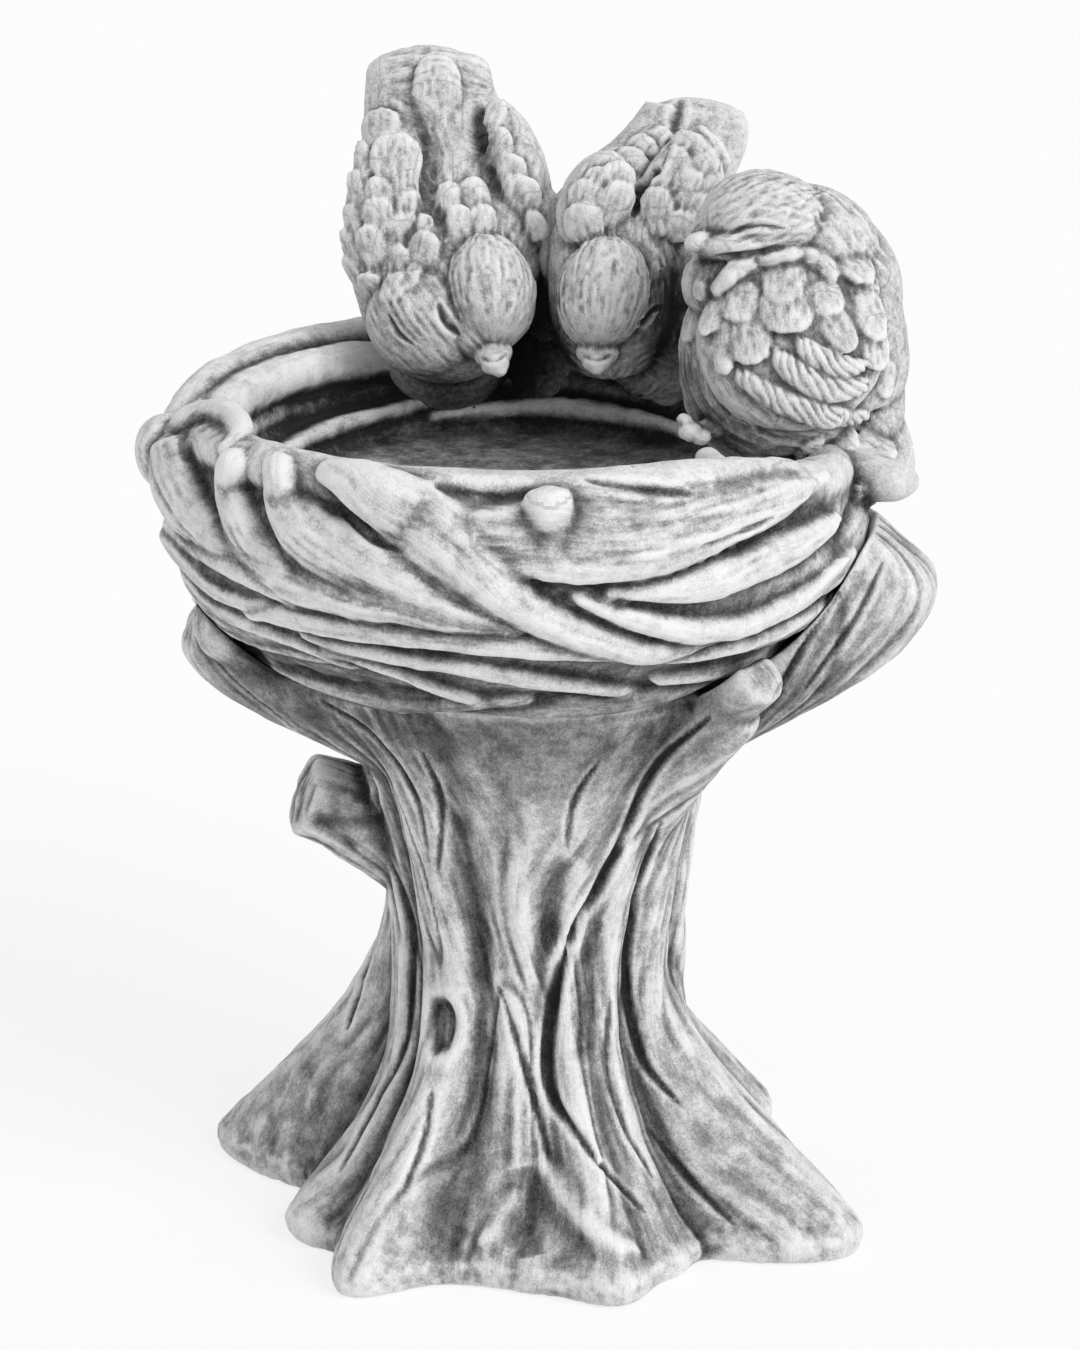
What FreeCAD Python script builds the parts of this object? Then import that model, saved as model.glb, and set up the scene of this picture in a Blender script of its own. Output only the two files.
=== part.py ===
import FreeCAD, Part
import math
import os

import Sketcher
from FreeCAD import Placement, Rotation, Vector

# A cast-stone birdbath: a tree stump carries a woven twig nest, and three small birds sit on its rim.
# X runs to the right, Y away from the viewer, Z up from the ground; the origin is under the stump's axis.

doc = FreeCAD.newDocument("birdbath")
sheet = doc.addObject("Spreadsheet::Sheet", "Sizes")

# Sizes in millimetres and angles in degrees
SIZES = (
    # Stump
    ("waist_radius", 57.0),
    ("waist_height", 112.0),
    ("ankle_radius", 91.0),
    ("ankle_height", 92.0),
    ("crown_radius", 92.0),
    ("crown_height", 262.0),
    ("crown_top", 281.0),
    ("crown_headroom", 4.0),
    ("root_nose", 9.0),
    ("branch_flank", 0.02),
    ("furrow_depth", 5.5),
    ("furrow_spread", 6.5),
    ("knot_hole_height", 88.0),
    ("knot_hole_width", 9.0),
    ("knot_hole_length", 14.0),
    ("knot_hole_angle", 234.0),
    ("side_stub_height", 149.0),
    ("side_stub_radius", 17.0),
    ("side_stub_reach", 94.0),
    ("side_stub_angle", 184.0),
    ("side_stub_rise", 10.0),
    ("crown_nub_height", 226.0),
    ("crown_nub_radius", 10.5),
    ("crown_nub_reach", 106.0),
    ("crown_nub_angle", 321.0),
    ("crown_nub_drop", 12.0),
    # Nest
    ("nest_offset", -8.0),
    ("seat_height", 222.0),
    ("foot_radius", 58.0),
    ("rim_radius", 128.0),
    ("rim_height", 316.0),
    ("rim_width", 22.0),
    ("wall_curve", 80.0),
    ("floor_height", 282.0),
    ("floor_radius", 84.0),
    ("bowl_curve", 44.0),
    ("strand_radius", 9.5),
    ("strand_sink", 2.5),
    ("twig_sink", 0.5),
    ("twig_fullness", 1.0),
    ("brow_radius", 8.5),
    ("brow_height", 315.0),
    ("brow_start", 196.0),
    ("brow_sweep", 132.0),
    ("brow_nub_radius", 9.0),
    ("brow_nub_angle", 275.0),
    ("left_knot_radius", 17.0),
    ("left_knot_angle", 186.0),
    ("left_knot_height", 299.0),
    ("left_knot_stem", 40.0),
    ("crown_clearance", 1.5),
    # Birds
    ("perch_radius", 117.0),
    ("left_perch_angle", 106.0),
    ("left_perch_height", 316.0),
    ("left_heading", 287.0),
    ("left_head_reach", 51.0),
    ("left_head_side", 8.0),
    ("left_head_height", 26.0),
    ("left_tail_height", 110.0),
    ("left_girth", 38.0),
    ("middle_perch_angle", 58.0),
    ("middle_perch_height", 316.0),
    ("middle_heading", 239.0),
    ("middle_head_reach", 51.0),
    ("middle_head_side", -2.0),
    ("middle_head_height", 28.0),
    ("middle_tail_height", 91.0),
    ("middle_girth", 28.5),
    ("right_perch_angle", 12.0),
    ("right_perch_height", 302.0),
    ("right_heading", 176.0),
    ("right_girth", 37.0),
    ("right_length", 43.0),
    ("right_stature", 74.0),
    ("right_head_side", 12.0),
    ("notch_radius", 46.0),
    ("head_radius", 19.5),
    ("beak_length", 15.0),
    ("bird_gap", 1.0),
    # Fixings
    ("bed_thickness", 2.0),
    ("bed_length", 40.0),
    ("bed_width", 15.0),
    ("pin_radius", 3.0),
    ("pin_bury", 18.0),
    ("pin_spacing", 20.0),
    ("dowel_radius", 6.0),
    ("dowel_bury", 40.0),
    ("dowel_stand", 32.0),
    ("dowel_play", 1.0),
    ("bar_radius", 3.0),
    ("bar_circle", 32.0),
    ("bar_length", 170.0),
    ("bar_cover", 22.0),
    ("hoop_radius", 94.0),
    ("hoop_wire", 2.5),
    ("hoop_height", 262.0),
    ("grout_line", 0.1),
    ("overcut", 10.0),
)

# Each root: name, angle round the stump, reach on the ground, height up the stump, spread in degrees
ROOTS = (
    ("left", 160.0, 135.0, 130.0, 16.0),
    ("toe", 207.0, 105.0, 64.0, 11.0),
    ("front_left", 234.0, 123.0, 96.0, 13.0),
    ("front", 287.0, 114.0, 100.0, 18.0),
    ("right", 334.0, 138.0, 108.0, 15.0),
    ("back_right", 42.0, 124.0, 104.0, 16.0),
    ("back", 100.0, 118.0, 100.0, 17.0),
)

# Each crown branch: name, angle, reach of its tip, height where it leaves the stump, height of its tip,
# spread, height above which its upper side slopes back, and how steeply
BRANCHES = (
    ("right", 355.0, 154.0, 182.0, 256.0, 22.0, 251.0, 1.0),
    ("left", 185.0, 134.0, 182.0, 233.0, 22.0, 236.0, 1.3),
)

# Each main furrow of the bark: its angle at the ground, at the waist and at the crown
FURROWS = (
    (222.0, 213.0, 208.0),
    (245.0, 248.0, 231.0),
    (276.0, 276.0, 276.0),
    (297.0, 291.0, 322.0),
    (314.0, 311.0, 337.0),
    (4.0, 342.0, 10.0),
    (22.0, 15.0, 34.0),
    (66.0, 52.0, 50.0),
    (82.0, 88.0, 84.0),
    (128.0, 122.0, 120.0),
    (142.0, 152.0, 148.0),
    (186.0, 183.0, 168.0),
)

# Each strand wound right round the nest's lower wall: name, share of the wall's height, rise to its high
# side, angle of that side
STRANDS = (
    ("upper", 0.455, 8.0, 350.0),
    ("middle", 0.351, 7.0, 160.0),
    ("lower", 0.234, 4.0, 320.0),
    ("foot", 0.1085, 0.0, 80.0),
)

# Each twig woven over the upper wall, by places along it: angle, share of the wall's height, half width
TWIGS = (
    ("knot_fall", ((199, 0.93, 10.6), (209, 0.78, 9.4), (222, 0.66, 6.0), (234, 0.60, 3.0))),
    (
        "left_fall",
        ((217, 0.97, 5.0), (222, 0.84, 7.6), (233, 0.64, 9.1), (250, 0.58, 7.6), (267, 0.52, 3.8)),
    ),
    (
        "second_fall",
        ((225, 0.97, 5.0), (233, 0.87, 9.1), (246, 0.74, 10.6), (259, 0.62, 8.3), (272, 0.50, 3.5)),
    ),
    (
        "long_fall",
        (
            (236, 0.97, 5.0),
            (248, 0.95, 9.0),
            (258, 0.84, 11.0),
            (267, 0.67, 9.0),
            (279, 0.50, 7.0),
            (294, 0.37, 6.0),
            (311, 0.33, 3.0),
        ),
    ),
    (
        "front_brow",
        (
            (261, 0.97, 6.0),
            (268, 0.93, 10.6),
            (284, 0.83, 14.4),
            (301, 0.85, 12.5),
            (318, 0.88, 7.6),
            (329, 0.90, 4.5),
        ),
    ),
    (
        "under_brow",
        ((285, 0.61, 3.0), (298, 0.62, 6.0), (313, 0.66, 7.6), (330, 0.70, 6.0), (343, 0.72, 4.0)),
    ),
    (
        "low_right",
        ((283, 0.60, 3.0), (297, 0.48, 5.0), (315, 0.41, 5.3), (337, 0.43, 5.0), (354, 0.50, 3.0)),
    ),
    ("right_back", ((337, 0.84, 5.0), (356, 0.68, 8.0), (375, 0.53, 8.0), (398, 0.42, 4.0))),
    (
        "back_first",
        ((10, 0.66, 6.0), (35, 0.73, 9.0), (60, 0.72, 10.0), (90, 0.57, 9.0), (118, 0.47, 5.0)),
    ),
    (
        "back_second",
        ((50, 0.88, 6.0), (80, 0.89, 9.0), (110, 0.80, 10.0), (140, 0.66, 8.0), (163, 0.58, 5.0)),
    ),
    ("back_third", ((92, 0.68, 6.0), (120, 0.61, 9.0), (150, 0.52, 9.0), (178, 0.46, 5.0))),
    ("left_back", ((113, 0.91, 7.0), (140, 0.88, 9.0), (165, 0.81, 10.0), (188, 0.68, 6.0))),
)


def list_sizes():
    """Gather every named size of the object in the order of the sheet."""
    rows = list(SIZES)
    for name, angle, reach, height, spread in ROOTS:
        rows.append(("root_angle_" + name, angle))
        rows.append(("root_reach_" + name, reach))
        rows.append(("root_height_" + name, height))
        rows.append(("root_spread_" + name, spread))
    for name, angle, reach, start, tip, spread, level, fall in BRANCHES:
        rows.append(("branch_angle_" + name, angle))
        rows.append(("branch_reach_" + name, reach))
        rows.append(("branch_start_" + name, start))
        rows.append(("branch_tip_" + name, tip))
        rows.append(("branch_spread_" + name, spread))
        rows.append(("branch_level_" + name, level))
        rows.append(("branch_fall_" + name, fall))
    for name, share, rise, angle in STRANDS:
        rows.append(("strand_share_" + name, share))
        rows.append(("strand_rise_" + name, rise))
        rows.append(("strand_angle_" + name, angle))
    return rows


for row, (alias, value) in enumerate(list_sizes(), start=1):
    sheet.set("A%d" % row, alias)
    sheet.set("B%d" % row, str(value))
    sheet.setAlias("B%d" % row, alias)
doc.recompute()


def size(alias):
    """Read one named size from the sheet."""
    return float(sheet.get(alias))


def bind(item, **cells):
    """Tie an object's properties to expressions of the sheet's cells."""
    for prop, expression in cells.items():
        item.setExpression(prop, expression)
    return item


def primitive(kind, name, placement=None, **cells):
    """Add a simple solid whose sizes follow the sheet."""
    item = doc.addObject(kind, name)
    bind(item, **cells)
    if placement is not None:
        item.Placement = placement
    return item


def solid(name, shape):
    """Add a solid worked out from the sheet's sizes."""
    item = doc.addObject("Part::Feature", name)
    item.Shape = shape
    return item


def fuse(name, items):
    """Join several objects into one."""
    item = doc.addObject("Part::MultiFuse", name)
    item.Shapes = list(items)
    return item


def cut(name, base, tools):
    """Take several objects away from one."""
    tools = list(tools)
    item = doc.addObject("Part::Cut", name)
    item.Base = base
    if len(tools) == 1:
        item.Tool = tools[0]
    else:
        item.Tool = fuse(name + "_tools", tools)
    return item


def polar(radius, angle, height=0.0):
    """A point by its distance from the axis, its angle in degrees and its height."""
    turn = math.radians(angle)
    return Vector(radius * math.cos(turn), radius * math.sin(turn), height)


NEST_AXIS = Vector(size("nest_offset"), 0, 0)


# The stump
def angle_gap(a, b):
    """The shorter way round between two angles in degrees."""
    return (a - b + 180.0) % 360.0 - 180.0


def above_nose(height, top):
    """Share of the way from the roots' blunt noses up to a height."""
    nose = size("root_nose")
    return max(height - nose, 0.0) / (top - nose)


def stump_core(height):
    """Radius of the stump between its roots and branches: waisted, wider at ground and crown."""
    waist = size("waist_radius")
    level = size("waist_height")
    if height < level:
        share = max(1.0 - above_nose(height, size("ankle_height")), 0.0)
        return waist + (size("ankle_radius") - waist) * share**2.2
    share = (height - level) / (size("crown_height") - level)
    return waist + (size("crown_radius") - waist) * share**1.6


def furrow_angle(furrow, height):
    """Angle of a furrow at one height: it bends off its angle at the waist both up and down."""
    ground, middle, crown = furrow
    waist = size("waist_height")
    if height < waist:
        end = ground
        share = 1.0 - height / waist
    else:
        end = crown
        share = min((height - waist) / (size("crown_height") - waist), 1.0)
    return middle + angle_gap(end, middle) * share**1.5


def stump_radius(angle, height):
    """Radius of the skin: the core, a bell-shaped ridge for each root and branch, less the furrows."""
    core = stump_core(height)
    radius = core
    for name, _, _, _, _ in ROOTS:
        climb = above_nose(height, size("root_height_" + name))
        if climb < 1.0:
            share = (1.0 - climb) ** 2 * (1.0 + 2.0 * climb)
            gap = angle_gap(angle, size("root_angle_" + name)) / size("root_spread_" + name)
            rise = size("root_reach_" + name) - size("ankle_radius")
            radius += rise * share * math.exp(-gap * gap)
    for name, _, _, _, _, _, _, _ in BRANCHES:
        start = size("branch_start_" + name)
        if height > start:
            share = (height - start) / (size("branch_tip_" + name) - start)
            gap = angle_gap(angle, size("branch_angle_" + name)) / size("branch_spread_" + name)
            rise = (size("branch_reach_" + name) - core) * math.sin(min(share, 1.3) * math.pi / 2)
            radius += rise * math.exp(-gap * gap)
    for name, _, _, _, _, _, _, _ in BRANCHES:
        slope = size("branch_fall_" + name) * max(height - size("branch_level_" + name), 0.0)
        flank = size("branch_flank") * angle_gap(angle, size("branch_angle_" + name)) ** 2
        radius = min(radius, size("branch_reach_" + name) - slope + flank)
    for furrow in FURROWS:
        gap = angle_gap(angle, furrow_angle(furrow, height)) / size("furrow_spread")
        radius -= size("furrow_depth") * math.exp(-gap * gap)
    return radius


def stump_section(height, count=96):
    """Closed smooth outline of the stump at one height."""
    points = []
    for step in range(count):
        angle = 360.0 * step / count
        points.append(polar(stump_radius(angle, height), angle, height))
    curve = Part.BSplineCurve()
    curve.interpolate(points, PeriodicFlag=True)
    return Part.Wire(curve.toShape())


def stump_levels():
    """Heights of the outlines the stump's skin passes through."""
    nose = size("root_nose")
    waist = size("waist_height")
    roots = [nose + (waist - nose) * share for share in (0.0, 0.12, 0.28, 0.5, 0.75, 1.0)]
    fork = min(size("branch_start_right"), size("branch_start_left"))
    top = size("crown_top")
    steps = [fork + (top - fork) * share for share in (0.0, 0.15, 0.30, 0.45, 0.60, 0.72, 0.86, 1.0)]
    return [0.0] + roots + [0.5 * (waist + fork)] + steps


stump_skin = solid("stump_skin", Part.makeLoft([stump_section(z) for z in stump_levels()], True, False))


def aim(start, end):
    """Placement that carries a solid's own Z from one point toward another."""
    return Placement(start, Rotation(Vector(0, 0, 1), end - start))


stub_root = polar(0.55 * size("waist_radius"), size("side_stub_angle"), size("side_stub_height"))
stub_top = size("side_stub_height") + size("side_stub_rise")
stub_tip = polar(size("side_stub_reach"), size("side_stub_angle"), stub_top)
side_stub = solid(
    "side_stub",
    Part.makeCone(
        1.15 * size("side_stub_radius"),
        0.85 * size("side_stub_radius"),
        (stub_tip - stub_root).Length,
    ),
)
side_stub.Placement = aim(stub_root, stub_tip)

nub_foot = size("crown_nub_height") - size("crown_nub_drop")
nub_root = polar(0.5 * size("crown_nub_reach"), size("crown_nub_angle"), nub_foot)
nub_tip = polar(size("crown_nub_reach"), size("crown_nub_angle"), size("crown_nub_height"))
crown_nub = primitive(
    "Part::Cylinder",
    "crown_nub",
    aim(nub_root, nub_tip),
    Radius="Sizes.crown_nub_radius",
    Height="Sizes.crown_nub_reach * 0.5",
)

knot_depth = stump_radius(size("knot_hole_angle"), size("knot_hole_height"))
knot_hole = primitive(
    "Part::Ellipsoid",
    "knot_hole",
    Placement(
        polar(knot_depth, size("knot_hole_angle"), size("knot_hole_height")),
        Rotation(Vector(0, 0, 1), size("knot_hole_angle")),
    ),
    Radius1="Sizes.knot_hole_length",
    Radius2="Sizes.knot_hole_width",
    Radius3="Sizes.knot_hole_width",
)


# The nest's wall is one arc from the foot's edge to the rim's edge
def wall_centre():
    """Centre of the wall's arc in the half-plane of radius and height."""
    low = Vector(size("foot_radius"), size("seat_height"), 0)
    high = Vector(size("rim_radius"), size("rim_height"), 0)
    half = 0.5 * (high - low).Length
    along = (high - low).normalize()
    outward = Vector(along.y, -along.x, 0)
    reach = math.sqrt(max(size("wall_curve") ** 2 - half**2, 1.0))
    return 0.5 * (low + high) - outward * reach


def wall_radius(height):
    """Radius of the nest's plain wall at one height."""
    centre = wall_centre()
    return centre.x + math.sqrt(max(size("wall_curve") ** 2 - (height - centre.y) ** 2, 0.0))


def guard(name, low, high):
    """The room the nest and its strands take, as a turned solid between two heights."""
    centre = wall_centre()
    grown = size("wall_curve") + size("strand_radius") - size("strand_sink") + size("crown_clearance")
    steps = 14
    points = [Vector(0, 0, low)]
    for step in range(steps + 1):
        height = low + (high - low) * step / steps
        level = min(max(height, size("seat_height")), centre.y)
        points.append(Vector(centre.x + math.sqrt(grown**2 - (level - centre.y) ** 2), 0, height))
    points.append(Vector(0, 0, high))
    curve = Part.BSplineCurve()
    curve.interpolate(points[1:-1])
    edges = [
        Part.makeLine(points[0], points[1]),
        curve.toShape(),
        Part.makeLine(points[-2], points[-1]),
        Part.makeLine(points[-1], points[0]),
    ]
    room = Part.Face(Part.Wire(edges)).revolve(Vector(0, 0, 0), Vector(0, 0, 1), 360)
    item = solid(name, room)
    item.Placement = Placement(NEST_AXIS, Rotation())
    return item


crown_room = guard("crown_room", size("seat_height"), size("crown_top") + size("crown_headroom"))

dowel_hole = primitive(
    "Part::Cylinder",
    "dowel_hole",
    Radius="Sizes.dowel_radius + Sizes.grout_line",
    Height="Sizes.dowel_bury + Sizes.overcut",
)
bind(
    dowel_hole,
    **{
        "Placement.Base.x": "Sizes.nest_offset",
        "Placement.Base.z": "Sizes.seat_height - Sizes.dowel_bury",
    },
)


def bar_set(name, radius_cell, cover_cell, length_cell):
    """Four upright rods on a circle round the stump's axis."""
    rods = []
    for step in range(4):
        rod = primitive("Part::Cylinder", "%s_%d" % (name, step), Radius=radius_cell, Height=length_cell)
        spot = polar(size("bar_circle"), 45.0 + 90.0 * step)
        rod.Placement = Placement(spot, Rotation())
        bind(rod, **{"Placement.Base.z": cover_cell})
        rods.append(rod)
    return rods


bar_holes = bar_set(
    "bar_hole",
    "Sizes.bar_radius + Sizes.grout_line",
    "Sizes.bar_cover - Sizes.grout_line",
    "Sizes.bar_length + 2 * Sizes.grout_line",
)
stump_whole = fuse("stump_whole", [stump_skin, side_stub, crown_nub])
trunk = cut("trunk_pedestal", stump_whole, [crown_room, knot_hole, dowel_hole] + bar_holes)

dowel = primitive(
    "Part::Cylinder",
    "locating_dowel",
    Radius="Sizes.dowel_radius",
    Height="Sizes.dowel_bury + Sizes.dowel_stand",
)
bind(
    dowel,
    **{
        "Placement.Base.x": "Sizes.nest_offset",
        "Placement.Base.z": "Sizes.seat_height - Sizes.dowel_bury",
    },
)
bars = fuse(
    "trunk_reinforcing_bars",
    bar_set("bar", "Sizes.bar_radius", "Sizes.bar_cover", "Sizes.bar_length"),
)

# The nest
nest_body = doc.addObject("PartDesign::Body", "nest_turned")
profile = nest_body.newObject("Sketcher::SketchObject", "nest_profile")
upright = [f for f in nest_body.Origin.OriginFeatures if f.Role == "XZ_Plane"][0]
profile.AttachmentSupport = [(upright, "")]
profile.MapMode = "FlatFace"


def arc_between(start, end, radius, bulge):
    """A sketch arc between two points that swells to the given side."""
    half = 0.5 * (end - start).Length
    along = (end - start).normalize()
    side = Vector(along.y, -along.x, 0) * bulge
    drop = math.sqrt(max(radius**2 - half**2, 1.0))
    middle = 0.5 * (start + end) + side * (radius - drop)
    return Part.Arc(start, middle, end)


corner = [
    Vector(0, size("seat_height"), 0),
    Vector(size("foot_radius"), size("seat_height"), 0),
    Vector(size("rim_radius"), size("rim_height"), 0),
    Vector(size("rim_radius") - size("rim_width"), size("rim_height"), 0),
    Vector(size("floor_radius"), size("floor_height"), 0),
    Vector(0, size("floor_height"), 0),
]
foot_line = profile.addGeometry(Part.LineSegment(corner[0], corner[1]), False)
wall_arc = profile.addGeometry(arc_between(corner[1], corner[2], size("wall_curve"), 1.0), False)
rim_line = profile.addGeometry(Part.LineSegment(corner[2], corner[3]), False)
bowl_arc = profile.addGeometry(arc_between(corner[4], corner[3], size("bowl_curve"), 1.0), False)
floor_line = profile.addGeometry(Part.LineSegment(corner[4], corner[5]), False)
axis_line = profile.addGeometry(Part.LineSegment(corner[5], corner[0]), False)


def constrain(*parts):
    """Add one constraint to the nest's profile."""
    return profile.addConstraint(Sketcher.Constraint(*parts))


def end_of(geometry, place):
    """The end of an edge, 1 or 2, that lies at the given point."""
    for end in (1, 2):
        if (profile.getPoint(geometry, end) - place).Length < 1e-4:
            return end
    raise RuntimeError("the profile's edges don't meet")


chain = [
    (foot_line, wall_arc, corner[1]),
    (wall_arc, rim_line, corner[2]),
    (rim_line, bowl_arc, corner[3]),
    (bowl_arc, floor_line, corner[4]),
    (floor_line, axis_line, corner[5]),
    (axis_line, foot_line, corner[0]),
]
for first, second, place in chain:
    constrain("Coincident", first, end_of(first, place), second, end_of(second, place))
constrain("Horizontal", foot_line)
constrain("Horizontal", rim_line)
constrain("Horizontal", floor_line)
constrain("PointOnObject", axis_line, 1, -2)
constrain("PointOnObject", axis_line, 2, -2)


def measure(name, kind, geometry, place, expression, value):
    """Hold one point or arc of the profile to a cell of the sheet."""
    if kind == "Radius":
        index = constrain(kind, geometry, value)
    else:
        index = constrain(kind, -1, 1, geometry, end_of(geometry, place), value)
    profile.renameConstraint(index, name)
    profile.setExpression("Constraints." + name, expression)


measure("foot_reach", "DistanceX", foot_line, corner[1], "Sizes.foot_radius", corner[1].x)
measure("foot_level", "DistanceY", foot_line, corner[1], "Sizes.seat_height", corner[1].y)
measure("rim_reach", "DistanceX", rim_line, corner[2], "Sizes.rim_radius", corner[2].x)
measure("rim_level", "DistanceY", rim_line, corner[2], "Sizes.rim_height", corner[2].y)
measure("mouth_reach", "DistanceX", rim_line, corner[3], "Sizes.rim_radius - Sizes.rim_width", corner[3].x)
measure("floor_reach", "DistanceX", floor_line, corner[4], "Sizes.floor_radius", corner[4].x)
measure("floor_level", "DistanceY", floor_line, corner[4], "Sizes.floor_height", corner[4].y)
measure("wall_bend", "Radius", wall_arc, None, "Sizes.wall_curve", size("wall_curve"))
measure("bowl_bend", "Radius", bowl_arc, None, "Sizes.bowl_curve", size("bowl_curve"))

turned = nest_body.newObject("PartDesign::Revolution", "nest_turn")
turned.Profile = profile
turned.ReferenceAxis = (profile, ["V_Axis"])
turned.Angle = 360.0
nest_body.Tip = turned
bind(nest_body, **{"Placement.Base.x": "Sizes.nest_offset"})


def wall_level(share):
    """Height at a share of the way from the nest's foot to its rim."""
    return size("seat_height") + (size("rim_height") - size("seat_height")) * share


def oval(centre, along, outward, half_width, half_height, count=12):
    """Closed oval outline across a twig."""
    across = along.cross(outward).normalize()
    lift = across.cross(along).normalize()
    points = []
    for step in range(count):
        turn = 2 * math.pi * step / count
        sideways = across * (half_width * math.cos(turn))
        points.append(centre + sideways + lift * (half_height * math.sin(turn)))
    curve = Part.BSplineCurve()
    curve.interpolate(points, PeriodicFlag=True)
    return Part.Wire(curve.toShape())


def woven_twig(name, places):
    """A fat twig that lies half sunk on the nest's wall and tapers to both ends."""
    path = []
    for angle, share, _ in places:
        height = wall_level(share)
        path.append(polar(wall_radius(height) - size("twig_sink"), angle, height))
    stand = size("strand_radius") - size("strand_sink")
    wires = []
    for index, (angle, share, half_width) in enumerate(places):
        along = path[min(index + 1, len(path) - 1)] - path[max(index - 1, 0)]
        wide = half_width * size("twig_fullness")
        wires.append(oval(path[index], along.normalize(), polar(1.0, angle), wide, min(0.75 * wide, stand)))
    item = solid("twig_" + name, Part.makeLoft(wires, True, False))
    item.Placement = Placement(NEST_AXIS, Rotation())
    return item


def strand_ring(name):
    """A twig wound round the wall in a tilted plane that keeps it half sunk on every side."""
    height = wall_level(size("strand_share_" + name))
    rise = size("strand_rise_" + name)
    angle = size("strand_angle_" + name)
    high = wall_radius(height + rise) - size("strand_sink")
    low = wall_radius(height - rise) - size("strand_sink")
    ring = primitive("Part::Torus", "strand_" + name, Radius2="Sizes.strand_radius")
    ring.Radius1 = math.hypot(0.5 * (high + low), rise)
    tilt = -math.degrees(math.atan2(rise, 0.5 * (high + low)))
    turn = Rotation(Vector(0, 0, 1), angle).multiply(Rotation(Vector(0, 1, 0), tilt))
    centre = NEST_AXIS + polar(0.5 * (high - low), angle, height)
    ring.Placement = Placement(centre, turn)
    return ring


brow = primitive(
    "Part::Torus",
    "brow",
    Placement(NEST_AXIS + Vector(0, 0, size("brow_height")), Rotation(Vector(0, 0, 1), size("brow_start"))),
    Radius1="Sizes.rim_radius - 0.5 * Sizes.rim_width",
    Radius2="Sizes.brow_radius",
    Angle3="Sizes.brow_sweep",
)


def ball(name, place, cell):
    """A round knob on the nest."""
    return primitive("Part::Sphere", name, Placement(place, Rotation()), Radius=cell)


brow_circle = size("rim_radius") - 0.5 * size("rim_width")
brow_ends = []
for label, turn in (("brow_left_end", 0.0), ("brow_right_end", size("brow_sweep"))):
    spot = NEST_AXIS + polar(brow_circle, size("brow_start") + turn, size("brow_height"))
    brow_ends.append(ball(label, spot, "Sizes.brow_radius"))
knot_circle = wall_radius(size("left_knot_height")) - 0.35 * size("left_knot_radius")
knot_centre = NEST_AXIS + polar(knot_circle, size("left_knot_angle"), size("left_knot_height"))
left_knot = ball("left_knot", knot_centre, "Sizes.left_knot_radius")
stem_foot = size("rim_height") - size("left_knot_stem")
stem_start = NEST_AXIS + polar(
    wall_radius(stem_foot) - size("left_knot_radius"), size("left_knot_angle"), stem_foot
)
stem = solid(
    "left_knot_stem",
    Part.makeCylinder(
        0.7 * size("left_knot_radius"),
        (knot_centre - stem_start).Length,
        stem_start,
        knot_centre - stem_start,
    ),
)
brow_nub = ball(
    "brow_nub",
    NEST_AXIS + polar(size("rim_radius") - 2.0, size("brow_nub_angle"), size("brow_height") - 4.0),
    "Sizes.brow_nub_radius",
)
strands = [strand_ring(name) for name, _, _, _ in STRANDS]
twigs = [woven_twig(name, places) for name, places in TWIGS]
knobs = [brow_nub, left_knot, stem] + brow_ends
nest_whole = fuse("nest_whole", [nest_body] + strands + twigs + [brow] + knobs)

# Perches on the rim
SIDES = ("left", "middle", "right")


def perch(side):
    """The middle of a bird's seat on the rim."""
    return NEST_AXIS + polar(
        size("perch_radius"), size(side + "_perch_angle"), size(side + "_perch_height")
    )


def pin_set(name, side, radius_cell, extra):
    """Two upright pins on a bird's seat, side by side along the rim."""
    pins = []
    along = size(side + "_perch_angle") + 90.0
    for step, share in (("a", -0.5), ("b", 0.5)):
        pin = primitive(
            "Part::Cylinder",
            "%s_%s" % (name, step),
            Radius=radius_cell,
            Height="2 * Sizes.pin_bury + Sizes.bed_thickness" + extra,
        )
        spot = perch(side) + polar(share * size("pin_spacing"), along)
        pin.Placement = Placement(spot, Rotation())
        bind(pin, **{"Placement.Base.z": "Sizes.%s_perch_height - Sizes.pin_bury" % side})
        pins.append(pin)
    return pins


pin_holes = {}
for side in SIDES:
    holes = pin_set(side + "_pin_hole", side, "Sizes.pin_radius + Sizes.grout_line", " + Sizes.grout_line")
    pin_holes[side] = fuse(side + "_pin_holes", holes)

right_notch = primitive(
    "Part::Cylinder",
    "right_notch",
    Placement(perch("right"), Rotation()),
    Radius="Sizes.notch_radius",
    Height="Sizes.rim_height",
)
socket = primitive(
    "Part::Cylinder",
    "socket",
    Radius="Sizes.dowel_radius + Sizes.dowel_play",
    Height="Sizes.dowel_stand + Sizes.dowel_play + Sizes.overcut",
)
bind(
    socket,
    **{
        "Placement.Base.x": "Sizes.nest_offset",
        "Placement.Base.z": "Sizes.seat_height - Sizes.overcut",
    },
)


def hoop(name, wire_cell):
    """The wire ring inside the nest's wall."""
    ring = primitive("Part::Torus", name, Radius1="Sizes.hoop_radius", Radius2=wire_cell)
    bind(ring, **{"Placement.Base.x": "Sizes.nest_offset", "Placement.Base.z": "Sizes.hoop_height"})
    return ring


hoop_bed = hoop("hoop_bed", "Sizes.hoop_wire + Sizes.grout_line")
reinforcing_ring = hoop("rim_reinforcing_ring", "Sizes.hoop_wire")
nest = cut(
    "nest_basin",
    nest_whole,
    [right_notch, socket, hoop_bed] + [pin_holes[side] for side in SIDES],
)


# The birds, each made facing along its own X, with its left along Y and its seat at its own origin

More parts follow.
